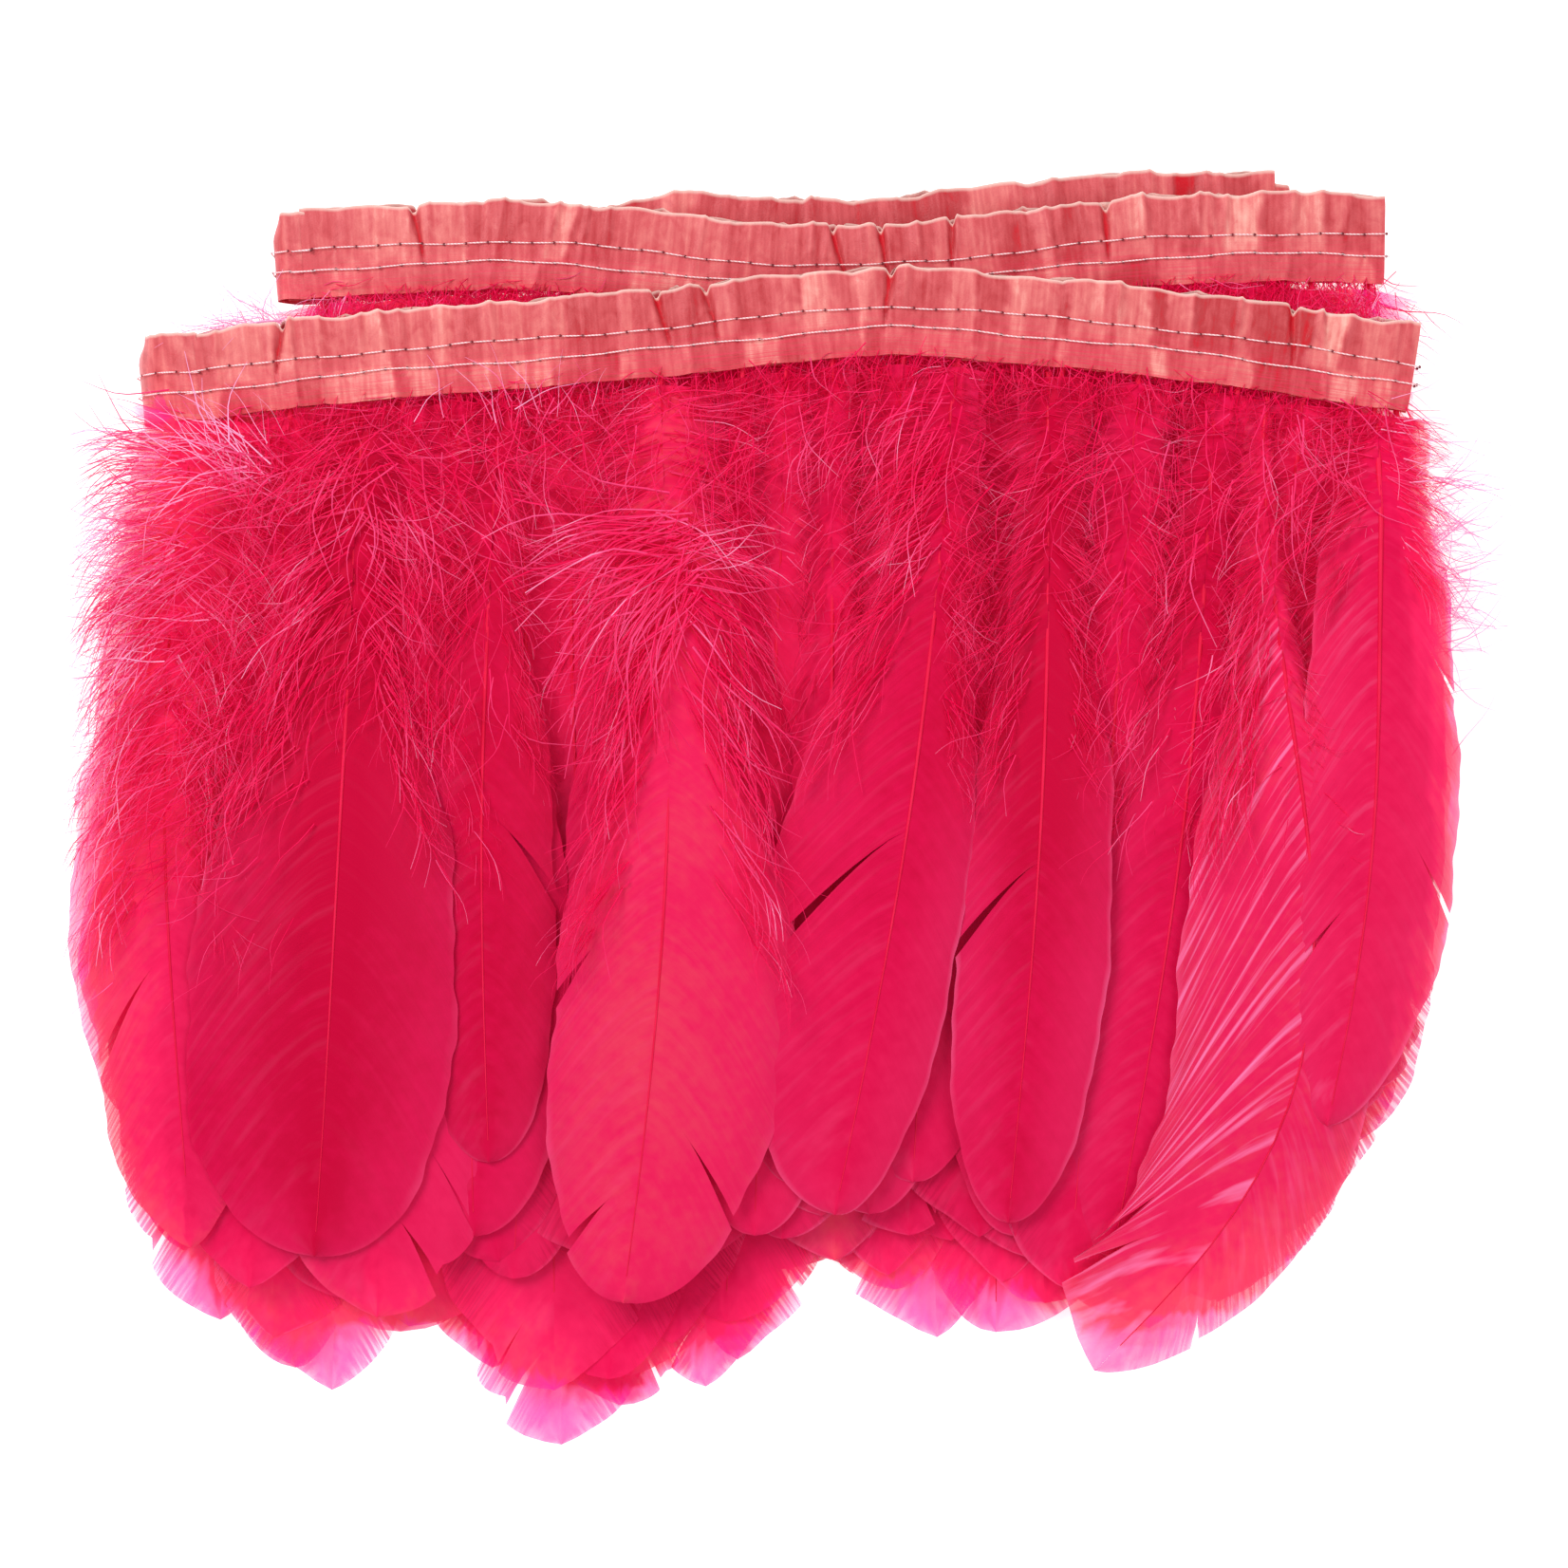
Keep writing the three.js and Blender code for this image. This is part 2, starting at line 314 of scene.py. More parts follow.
def ramp(tree, share, stops):
    made = node(tree, "ShaderNodeValToRGB", {0: share})
    elements = made.color_ramp.elements
    while len(elements) < len(stops):
        elements.new(0.5)
    for element, (place, colour) in zip(elements, stops):
        element.position = place
        element.color = (*colour, 1)
    return made.outputs[0]


def span(tree, value, low, high):
    """0 at low and 1 at high, held to that range."""
    made = node(tree, "ShaderNodeMapRange", {0: value, 1: low, 2: high, 3: 0.0, 4: 1.0})
    return made.outputs[0]


def barb_grain_group():
    """Streaks along the barbs. U is the share of a barb, and V the place on the shaft in decimetres."""
    tree, given, result = group(
        "barb_grain",
        [("Barbs per mm", "NodeSocketFloat", 2.2), ("Streak mm", "NodeSocketFloat", 1.6),
         ("Seed", "NodeSocketFloat", 0.0)],
        [("Streaks", "NodeSocketFloat"), ("Barbs", "NodeSocketFloat")],
    )
    uv = node(tree, "ShaderNodeUVMap", uv_map="UVMap").outputs[0]
    split = node(tree, "ShaderNodeSeparateXYZ", {0: uv})
    along = times(tree, split.outputs[1], 100.0)
    streak_place = node(tree, "ShaderNodeCombineXYZ", {
        0: times(tree, split.outputs[0], 1.3),
        1: maths(tree, "DIVIDE", along, given.outputs["Streak mm"]),
        2: given.outputs["Seed"]})
    streaks = noise(tree, streak_place.outputs[0], 3.0)
    barb_place = node(tree, "ShaderNodeCombineXYZ", {
        0: times(tree, split.outputs[0], 3.0),
        1: times(tree, along, given.outputs["Barbs per mm"]),
        2: given.outputs["Seed"]})
    barbs = noise(tree, barb_place.outputs[0], 1.0)
    tree.links.new(streaks, result.inputs["Streaks"])
    tree.links.new(barbs, result.inputs["Barbs"])
    return tree


def dye_lot_group():
    """Uneven dye: soft clouds over the object, which no two feathers took up alike."""
    tree, given, result = group(
        "dye_lot",
        [("Cloud size", "NodeSocketFloat", 22.0), ("Depth", "NodeSocketFloat", 0.5)],
        [("Cloud", "NodeSocketFloat")],
    )
    place = node(tree, "ShaderNodeTexCoord").outputs["Object"]
    clouds = node(tree, "ShaderNodeTexNoise", {"Vector": place, "Detail": 2.0})
    tree.links.new(given.outputs["Cloud size"], clouds.inputs["Scale"])
    centred = minus(tree, clouds.outputs[0], 0.5)
    tree.links.new(times(tree, centred, given.outputs["Depth"]), result.inputs["Cloud"])
    return tree


BARB_GRAIN = barb_grain_group()
DYE_LOT = dye_lot_group()


def use(tree, made_group, **values):
    placed = node(tree, "ShaderNodeGroup", node_tree=made_group)
    for label, value in values.items():
        placed.inputs[label.replace("_", " ")].default_value = value
    return placed


def material(name, **constants):
    """A material with its Principled BSDF; constants are set on the shader's own sockets."""
    made = bpy.data.materials.new(name)
    made.use_nodes = True
    shader = made.node_tree.nodes["Principled BSDF"]
    for label, value in constants.items():
        shader.inputs[label.replace("_", " ")].default_value = value
    return made, made.node_tree, shader


# ---- stage ----
FLOOR_SIZE = 4.0
FLOOR_Z = -0.0002


def make_stage():
    bpy.ops.mesh.primitive_plane_add(size=FLOOR_SIZE, location=(0, 0, FLOOR_Z))
    floor = bpy.context.object
    floor.name = "floor"
    made, _, shader = material("white_table", Roughness=0.9, Emission_Strength=0.6)
    shader.inputs["Base Color"].default_value = (0.92, 0.92, 0.92, 1)
    shader.inputs["Emission Color"].default_value = (1, 1, 1, 1)
    floor.data.materials.append(made)
    floor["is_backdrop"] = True


make_stage()


# ---- finishes ----
CRIMSON = (0.56, 0.0005, 0.038)
RASPBERRY = (0.71, 0.003, 0.068)
HOT_PINK = (0.82, 0.013, 0.098)
CORAL = (0.82, 0.052, 0.104)
# ORCHID is painted light: the colour of a single feather with the table's light coming through it.
ORCHID = (0.86, 0.020, 0.33)
PALE_ORCHID = (1.0, 0.45, 0.72)
BLOOM = (0.74, 0.020, 0.115)
# HIGHLIGHT is a painted highlight, laid on creases and rims of the vanes.
HIGHLIGHT = (0.98, 0.21, 0.46)


def attribute(tree, label):
    return node(tree, "ShaderNodeAttribute", attribute_name=label).outputs["Fac"]


def vane_finish():
    """A vane: darkest where the pile is deep, and orchid where one feather alone lets the light through."""
    # Emission_Strength paints a glow into the vanes, as if the table's light came through them.
    made, tree, shader = material(
        "dyed_vane", Roughness=0.55, Specular_IOR_Level=0.06, Emission_Strength=0.30)
    streaks, barbs = use(tree, BARB_GRAIN).outputs[:2]
    creases = use(tree, BARB_GRAIN, Streak_mm=2.2, Seed=7.0).outputs[0]
    wisps = use(tree, BARB_GRAIN, Streak_mm=0.6, Seed=3.0).outputs[0]
    clouds = use(tree, DYE_LOT, Cloud_size=26.0, Depth=0.6).outputs[0]
    mottle = use(tree, DYE_LOT, Cloud_size=420.0, Depth=0.3).outputs[0]
    thin, downy = attribute(tree, "thin"), attribute(tree, "downy")
    uv = node(tree, "ShaderNodeUVMap", uv_map="UVMap").outputs[0]
    out = node(tree, "ShaderNodeSeparateXYZ", {0: uv}).outputs[0]

    tone = plus(tree, attribute(tree, "dye"), plus(tree, clouds, mottle))
    depth = plus(tree, 0.30, times(tree, downy, 0.7))
    tone = plus(tree, tone, swing(tree, streaks, depth))
    # Painted light: the vane is lighter where few feathers lie over the table and light comes through.
    tone = plus(tree, tone, times(tree, thin, 0.35))
    colour = ramp(tree, tone, [(0.0, CRIMSON), (0.35, RASPBERRY), (0.7, HOT_PINK), (1.0, CORAL)])
    bloom = times(tree, span(tree, out, 0.15, 0.9), span(tree, clouds, -0.16, 0.14))
    colour = blend_colour(tree, times(tree, bloom, 0.55), colour, (*BLOOM, 1))
    # Painted highlights: light lines along the barbs where a vane is creased, and a lighter rim along its
    # edge; none on the down.
    lines = times(tree, span(tree, creases, 0.50, 0.72), attribute(tree, "crease"))
    rim = times(tree, span(tree, out, 0.93, 1.0), span(tree, clouds, -0.05, 0.3))
    light = maths(tree, "MAXIMUM", lines, times(tree, rim, 0.7))
    light = times(tree, light, minus(tree, 1.0, downy), clamp=True)
    colour = blend_colour(tree, light, colour, (*HIGHLIGHT, 1))
    # Painted light: orchid where a single feather lies over the table and lets its light through.
    single = span(tree, thin, 0.72, 1.0)
    colour = blend_colour(tree, single, colour, (*ORCHID, 1))
    tree.links.new(colour, shader.inputs["Base Color"])

    # Painted glow: the emission is weak where the pile is deep and strong where few feathers lie over the
    # table.
    glow = plus(tree, 0.15, times(tree, span(tree, thin, 0.0, 0.7), 0.85))
    shade = node(tree, "ShaderNodeCombineColor", {0: glow, 1: glow, 2: glow}).outputs[0]
    glowing = blend_colour(tree, 1.0, colour, shade, "MULTIPLY")
    tree.links.new(glowing, shader.inputs["Emission Color"])

    barb_gaps = times(tree, span(tree, out, 0.75, 1.0), times(tree, barbs, 0.2))
    locks = plus(tree, 0.35, span(tree, streaks, 0.60, 0.40))
    down_gaps = times(tree, times(tree, downy, locks), span(tree, out, 0.25, 1.0))
    gaps = plus(tree, barb_gaps, times(tree, down_gaps, 0.75))
    frayed = times(tree, span(tree, out, 0.5, 1.0), span(tree, wisps, 0.46, 0.58))
    gaps = plus(tree, gaps, times(tree, frayed, attribute(tree, "fray")))
    gaps = plus(tree, gaps, times(tree, single, times(tree, streaks, 0.38)))
    tree.links.new(minus(tree, 0.98, gaps, clamp=True), shader.inputs["Alpha"])

    height = plus(tree, streaks, times(tree, barbs, 0.3))
    bump = node(tree, "ShaderNodeBump", {"Strength": 0.4, "Distance": 0.0003, "Height": height})
    tree.links.new(bump.outputs[0], shader.inputs["Normal"])
    return made


def shaft_finish():
    made, tree, shader = material("dyed_shaft", Roughness=0.4, Specular_IOR_Level=0.1)
    clouds = use(tree, DYE_LOT, Cloud_size=90.0, Depth=0.8)
    share = plus(tree, clouds.outputs[0], 0.5)
    colour = ramp(tree, share, [(0.2, (0.74, 0.002, 0.045)), (0.8, (0.92, 0.02, 0.09))])
    tree.links.new(colour, shader.inputs["Base Color"])
    return made


def down_finish():
    # Emission_Strength paints a glow into the down, as if light came through it.
    made, tree, shader = material("down", Roughness=0.7, Specular_IOR_Level=0.05, Emission_Strength=0.16)
    along = attribute(tree, "along")
    clouds = use(tree, DYE_LOT, Cloud_size=70.0, Depth=0.85)
    # pale is partly the down's own paler dye and partly painted light, added where the down lies over few
    # feathers.
    share = plus(tree, attribute(tree, "pale"), clouds.outputs[0])
    share = plus(tree, share, times(tree, along, 0.25))
    colour = ramp(tree, share, [
        (0.05, (0.79, 0.003, 0.070)), (0.45, (0.91, 0.022, 0.135)),
        (0.8, (0.95, 0.10, 0.30)), (1.0, PALE_ORCHID)])
    tree.links.new(colour, shader.inputs["Base Color"])
    tree.links.new(colour, shader.inputs["Emission Color"])
    tree.links.new(minus(tree, 0.95, times(tree, along, 0.35)), shader.inputs["Alpha"])
    return made


def satin_finish():
    """Satin ribbon: U is metres along it, V the share of its width, and tone how the puckers shine."""
    made, tree, shader = material("coral_satin", Roughness=0.38, Specular_IOR_Level=0.25, Anisotropic=0.5)
    uv = node(tree, "ShaderNodeUVMap", uv_map="UVMap").outputs[0]
    width = node(tree, "ShaderNodeSeparateXYZ", {0: uv}).outputs[1]

    def stretched(along, across):
        return node(tree, "ShaderNodeMapping", {"Vector": uv, "Scale": (along, across, 1.0)}).outputs[0]

    weave = noise(tree, stretched(2600.0, 110.0), 1.0)
    folds = noise(tree, stretched(900.0, 1.2), 2.0)
    crumple = noise(tree, stretched(430.0, 5.0), 3.0, Distortion=0.8)
    share = attribute(tree, "tone")
    # The folds and crumple noises paint light and shade into the tone, and the ramp runs from the painted
    # shade in the hollows to the painted sheen on the puckers; the weave is the cloth's own grain.
    for grain, depth in ((folds, 0.66), (weave, 0.16), (crumple, 0.5)):
        share = plus(tree, share, swing(tree, grain, depth))
    colour = ramp(tree, share, [
        (0.0, (0.62, 0.004, 0.016)), (0.20, (0.52, 0.042, 0.052)), (0.48, (0.69, 0.105, 0.118)),
        (0.72, (0.82, 0.205, 0.195)), (1.0, (0.98, 0.46, 0.39))])
    under = noise(tree, uv, 2.0, Scale=70.0)
    quills = times(tree, span(tree, width, 0.62, 0.1), span(tree, under, 0.38, 0.72))
    colour = blend_colour(tree, times(tree, quills, 0.75), colour, (0.86, 0.03, 0.10, 1))
    selvedge = span(tree, width, 0.955, 1.0)
    colour = blend_colour(tree, times(tree, selvedge, 0.8), colour, (1.0, 0.75, 0.66, 1))
    tree.links.new(colour, shader.inputs["Base Color"])
    bump = node(tree, "ShaderNodeBump", {
        "Strength": 0.3, "Distance": 0.0003, "Height": plus(tree, weave, crumple)})
    tree.links.new(bump.outputs[0], shader.inputs["Normal"])
    return made


def thread_finish():
    # Emission_Strength paints a glow that keeps the thin thread light.
    made, tree, shader = material("cotton_thread", Roughness=0.75, Emission_Strength=0.12)
    place = node(tree, "ShaderNodeTexCoord").outputs["Object"]
    twist = node(tree, "ShaderNodeTexWave", {"Vector": place, "Scale": 900.0, "Distortion": 1.0},
                 bands_direction="DIAGONAL")
    colour = ramp(tree, twist.outputs["Fac"], [(0.0, (0.88, 0.42, 0.45)), (1.0, (1.0, 0.80, 0.82))])
    tree.links.new(colour, shader.inputs["Base Color"])
    tree.links.new(colour, shader.inputs["Emission Color"])
    bump = node(tree, "ShaderNodeBump", {
        "Strength": 0.4, "Distance": 0.0001, "Height": twist.outputs["Fac"]})
    tree.links.new(bump.outputs[0], shader.inputs["Normal"])
    return made


# Painted shade: each needle hole is a dark disc where the hole lies in shade.
def needle_hole_shade_finish():
    made, tree, shader = material("needle_hole_shade", Roughness=0.9)
    clouds = use(tree, DYE_LOT, Cloud_size=200.0, Depth=0.6)
    share = plus(tree, clouds.outputs[0], 0.5)
    colour = ramp(tree, share, [(0.0, (0.10, 0.004, 0.010)), (1.0, (0.30, 0.02, 0.03))])
    tree.links.new(colour, shader.inputs["Base Color"])
    return made


VANE = vane_finish()
SHAFT = shaft_finish()
DOWN = down_finish()
SATIN = satin_finish()
THREAD = thread_finish()
NEEDLE_HOLE_SHADE = needle_hole_shade_finish()


# ---- satin tapes ----
class Gathers:
    """The pleats that the stitching draws a tape into: where they are, how they stand and how they shine."""

    def __init__(self, rng, length, tucks):
        gaps = rng.gamma(3.0, 1.05, int(length / 1.6))
        self.at = np.cumsum(0.8 + gaps)
        self.at = self.at[self.at < length - 0.5]
        count = len(self.at)
        self.wide = rng.uniform(0.35, 1.0, count)
        self.high = rng.uniform(-0.55, 1.1, count)
        self.slant = rng.normal(0, 0.12, count)
        self.top_share, self.low_share = rng.uniform(0.4, 1.0, count), rng.uniform(0.0, 0.8, count)
        self.shine = np.clip(rng.normal(0.50, 0.15, (2, count + 1)), 0.10, 0.86)
        self.tucks = [(place, 0.62, rng.uniform(-0.3, 0.3)) for place in tucks]

    def height(self, u, v):
        """Height of the gathered satin at the distance u along it and v across it."""
        height = np.zeros(np.broadcast(u, v).shape)
        above = smooth(LOWER_ROW, UPPER_ROW + 1.0, v)
        for place, wide, high, slant, top, low in zip(
                self.at, self.wide, self.high, self.slant, self.top_share, self.low_share):
            away = u - place - slant * v
            wide = np.where(away > 0, wide, wide * 1.9)
            height += high * (low + (top - low) * above) * np.exp(-np.abs(away / wide) ** 1.6)
        held = 1 - 0.7 * np.exp(-((v - UPPER_ROW) / 1.3) ** 2) - 0.6 * np.exp(-((v - LOWER_ROW) / 1.2) ** 2)
        return (height - 2.2 * self.tuck(u, v)) * held

    def tuck(self, u, v):
        """1 inside a deep tuck, which opens towards the upper edge."""
        depth = np.zeros(np.broadcast(u, v).shape)
        for place, wide, slant in self.tucks:
            opening = wide * (0.35 + 0.65 * smooth(-4.0, 8.0, v))
            depth += np.exp(-((u - place - slant * v) / opening) ** 2) * smooth(-4.5, 0.5, v)
        return np.clip(depth, 0, 1)

    def tone(self, u, v):
        """The satin's painted light and shade: flat bands of sheen between the pleats, which change across
        the seams.
        """
        slant = np.interp(u, self.at, self.slant)
        where = u - slant * v + 0.25 * np.sin(v * 0.9 + u * 0.6)
        edge = np.searchsorted(self.at, where)
        near = np.abs(where - self.at[np.clip(edge, 0, len(self.at) - 1)])
        upper, lower = self.shine[0][edge], self.shine[1][edge]
        band = lower + (upper - lower) * smooth(LOWER_ROW - 0.4, LOWER_ROW + 1.2, v)
        return band + 0.16 * np.exp(-(near / 0.35) ** 2) * np.sign(np.sin(edge * 2.3))


def tape_sheet(leaf, ply, seed, tucks=()):
    """One ply of a leaf's tape, drawn up by its stitching."""
    route = ROUTES[leaf]
    gathers = Gathers(np.random.default_rng(seed), route.length, tucks)
    step = SATIN_STEP[leaf]
    u = np.linspace(0, route.length, int(route.length / step))[:, None]
    v = np.linspace(-TAPE_WIDTH / 2, TAPE_WIDTH / 2, SATIN_COLUMNS)[None, :]
    height = gathers.height(u, v)
    point, across = route.at(u[:, 0])
    edge_wave = 0.3 * np.sin(u * 0.21 + seed) + 0.25 * np.sin(u * 0.53 + 2 * seed) + 0.75 * height
    reach = v + np.clip(edge_wave, -1.6, 1.2) * smooth(1.0, 8.0, v)
    reach = reach + 0.35 * edge_wave * smooth(-5.0, -8.0, v)
    proud = PROUD[leaf]
    if leaf in ("third", "bottom"):
        proud = proud * (1.6 * smooth(*PROUD_STRETCH, point[:, 0]) - 0.6)[:, None]
    reach = reach + proud * smooth(1.0, 8.0, v)
    plan = point[:, None, :] + across[:, None, :] * reach[..., None]
    top = (route.face_z if ply == "face" else route.back_z) == route.top_z
    side = 1 if top else -1
    z = (route.top_z if top else route.low_z) + side * (0.25 + 0.85 * np.maximum(height, -0.9))
    z = np.maximum(z - side * 0.5 * smooth(5.5, 8.0, np.abs(v)), LOWEST)
    # The tone is painted light and shade: lighter on slopes that face the light and on raised satin, darker
    # on the rear tapes, which lie under the others, and darkest in the deep tucks.
    slope = np.gradient(height, u[:, 0], axis=0)
    tone = gathers.tone(u, v) + 0.13 * np.tanh(1.2 * slope) + 0.05 * height
    for _ in range(2):
        tone[1:-1] = (tone[:-2] + 2 * tone[1:-1] + tone[2:]) / 4
    tone = (tone - 0.06 * PROUD[leaf]) * (1 - 0.95 * gathers.tuck(u, v))
    uv = np.stack(np.broadcast_arrays(u * MM, (v + TAPE_WIDTH / 2) / TAPE_WIDTH), -1)
    skin = Skin()
    rows = np.concatenate([plan, z[..., None]], -1)
    if top:
        rows, uv, tone = rows[:, ::-1], uv[:, ::-1], tone[:, ::-1]
    skin.grid(rows, uv, tone=tone)
    obj = skin.piece(f"{leaf}_{ply}_tape", [SATIN])
    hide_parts(f"{leaf}_leaf_{ply}_tape")
    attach(obj, LEAF_BODY[leaf])
    return obj


# The deepest tucks of the visible tapes, as shares of the leaf's length.
TUCKS = {"front": (0.065, 0.385, 0.425, 0.565, 0.90), "second": (0.11, 0.50, 0.54, 0.60, 0.745)}


def make_tapes():
    for number, leaf in enumerate(LEAF_BODY):
        tucks = [share * ROUTES[leaf].length for share in TUCKS.get(leaf, ())]
        tape_sheet(leaf, "face", 11 + number, tucks)
        tape_sheet(leaf, "back", 31 + number, tucks)


# ---- folds ----
FOLDS = {
    # name: (lower leaf, upper leaf, side, body of the leaf that its upper end meets, face ply outside); a
    # fold with such a body is left unparented, the others go with the root
    "outer_fold": ("bottom", "front", -1, "front_leaf", True),
    "inner_fold": ("third", "second", -1, "second_leaf", False),
    "end_fold": ("bottom", "third", 1, None, True),
}
FOLD_STEPS = 40
FOLD_LAP = 2.6               # how far a fold's ends run on along the leaves, under their tapes


class Fold:
    """A ply of tape bent round from the end of one leaf to the end of the leaf above it."""

    def __init__(self, name, ply):
        lower, upper, self.side, self.follower, face_outside = FOLDS[name]
        self.name, self.ply, self.lower = name, ply, lower
        low, high = ROUTES[lower], ROUTES[upper]
        box = [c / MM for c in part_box(f"{name}_{ply}_tape")]
        self.outside = (ply == "face") == face_outside
        straight = max if self.side < 0 else min
        self.ends = []
        for route in (low, high):
            point, across = route.at(np.array([0.0 if self.side < 0 else route.length]))
            self.ends.append((point[0], across[0]))
        self.low_z = low.low_z if self.outside else low.top_z
        self.high_z = high.top_z if self.outside else high.low_z
        self.x = straight(box[0].x, box[1].x) + self.side * 1.0
        self.radius = (self.high_z - self.low_z) / 2
        self.arc = math.pi * self.radius

    def surface(self, run, v, lift=0.0):
        """Points at the distances run round the bend and v across it, the ways that they face, and the
        satin's painted light and shade, which follows the crimps and is lighter towards the upper end of the
        bend.
        """
        (p0, a0), (p1, a1) = self.ends
        turn = np.clip(run / self.arc, 0, 1)
        angle = (turn - 0.5) * math.pi
        beyond = np.maximum(0.0, -run) + np.maximum(0.0, run - self.arc)
        across = a0 + (a1 - a0) * turn[..., None]
        across = across / np.linalg.norm(across, axis=-1, keepdims=True)
        middle = p0 + (p1 - p0) * turn[..., None]
        crimp = 0.35 * np.sin(run * 1.9) * smooth(-8, 8, v) + 0.2 * np.sin(run * 0.9 + v)
        drawn_in = 1.7 * smooth(3.0, 8.0, v) * np.cos(angle) ** 2
        out = self.radius + lift + (0.15 * crimp if self.outside else 0.0)
        x = self.x + self.side * ((out - drawn_in) * np.cos(angle) - beyond) + across[..., 0] * v
        y = middle[..., 1] + across[..., 1] * v + 0.25 * crimp
        z = np.maximum((self.low_z + self.high_z) / 2 + out * np.sin(angle), LOWEST * (2 if lift else 1))
        facing = np.stack([self.side * np.cos(angle), np.zeros_like(angle), np.sin(angle)], -1)
        return np.stack([x, y, z], -1), facing, 0.40 + 0.25 * crimp + 0.12 * smooth(0.6, 1.0, turn)

    def follow(self, obj):
        if self.follower:
            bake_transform(obj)
        else:
            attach(obj, "root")

    def sheet(self):
        run, v = np.meshgrid(
            np.linspace(-FOLD_LAP, self.arc + FOLD_LAP, FOLD_STEPS + 1),
            np.linspace(-TAPE_WIDTH / 2, TAPE_WIDTH / 2, SATIN_COLUMNS), indexing="ij")
        rows, _, tones = self.surface(run, v)
        uv = np.stack([(run + FOLD_LAP) * MM, v / TAPE_WIDTH + 0.5], -1)
        if (self.side < 0) == self.outside:
            rows, uv, tones = rows[:, ::-1], uv[:, ::-1], tones[:, ::-1]
        skin = Skin()
        skin.grid(rows, uv, tone=tones)
        obj = skin.piece(f"{self.name}_{self.ply}", [SATIN])
        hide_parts(f"{self.name}_{self.ply}_tape")
        self.follow(obj)

    def seams(self):
        """The two rows of stitches round the outside of the bend."""
        run = np.arange(-1.0, self.arc + 1.5, 1.0)
        rows = []
        for row, stitch in SEAM_ROWS.values():
            points, facing, _ = self.surface(run, np.full(len(run), row), 0.4)
            rows.append(sew(points, facing, stitch, f"{self.name}_stitching"))
        obj = join(rows)
        self.follow(obj)


def make_folds():
    for name in FOLDS:
        for ply in ("face", "back"):
            fold = Fold(name, ply)
            fold.sheet()
            if fold.outside:
                fold.seams()


# ---- geometry node helpers ----
def geometry_tree(name, inputs):
    tree = bpy.data.node_groups.new(name, "GeometryNodeTree")
    tree.interface.new_socket("Geometry", in_out="INPUT", socket_type="NodeSocketGeometry")
    sockets = {}
    for label, kind, value in inputs:
        sockets[label] = tree.interface.new_socket(label, in_out="INPUT", socket_type=kind)
        if value is not None:
            sockets[label].default_value = value
    tree.interface.new_socket("Geometry", in_out="OUTPUT", socket_type="NodeSocketGeometry")
    return tree, tree.nodes.new("NodeGroupInput"), tree.nodes.new("NodeGroupOutput")


def grow(tree, start, name, **values):
    """Runs a geometry tree on a starting mesh and gives the result as a plain mesh object."""
    seed_object = bpy.data.objects.new(name + "_start", start)
    bpy.context.scene.collection.objects.link(seed_object)
    modifier = seed_object.modifiers.new("grow", "NODES")
    modifier.node_group = tree
    for item in tree.interface.items_tree:
        if item.in_out == "INPUT" and item.name in values:
            modifier[item.identifier] = values[item.name]
    bpy.context.view_layer.update()
    evaluated = seed_object.evaluated_get(bpy.context.evaluated_depsgraph_get())
    mesh = bpy.data.meshes.new_from_object(evaluated)
    seed_object.modifiers.remove(modifier)
    bpy.data.objects.remove(seed_object)
    mesh.name = name
    obj = bpy.data.objects.new(name, mesh)
    bpy.context.scene.collection.objects.link(obj)
    return obj


def bent_line(tree, count, offset):
    """A unit line along X with count points, moved by the offset that a function makes from its factor."""
    line = node(tree, "GeometryNodeCurvePrimitiveLine", {"Start": (0, 0, 0), "End": (1, 0, 0)})
    fine = node(tree, "GeometryNodeResampleCurve", {"Curve": line.outputs[0], "Count": count})
    factor = node(tree, "GeometryNodeSplineParameter").outputs[0]
    moved = node(tree, "GeometryNodeSetPosition", {
        "Geometry": fine.outputs[0], "Offset": offset(tree, factor)})
    return moved.outputs[0], factor


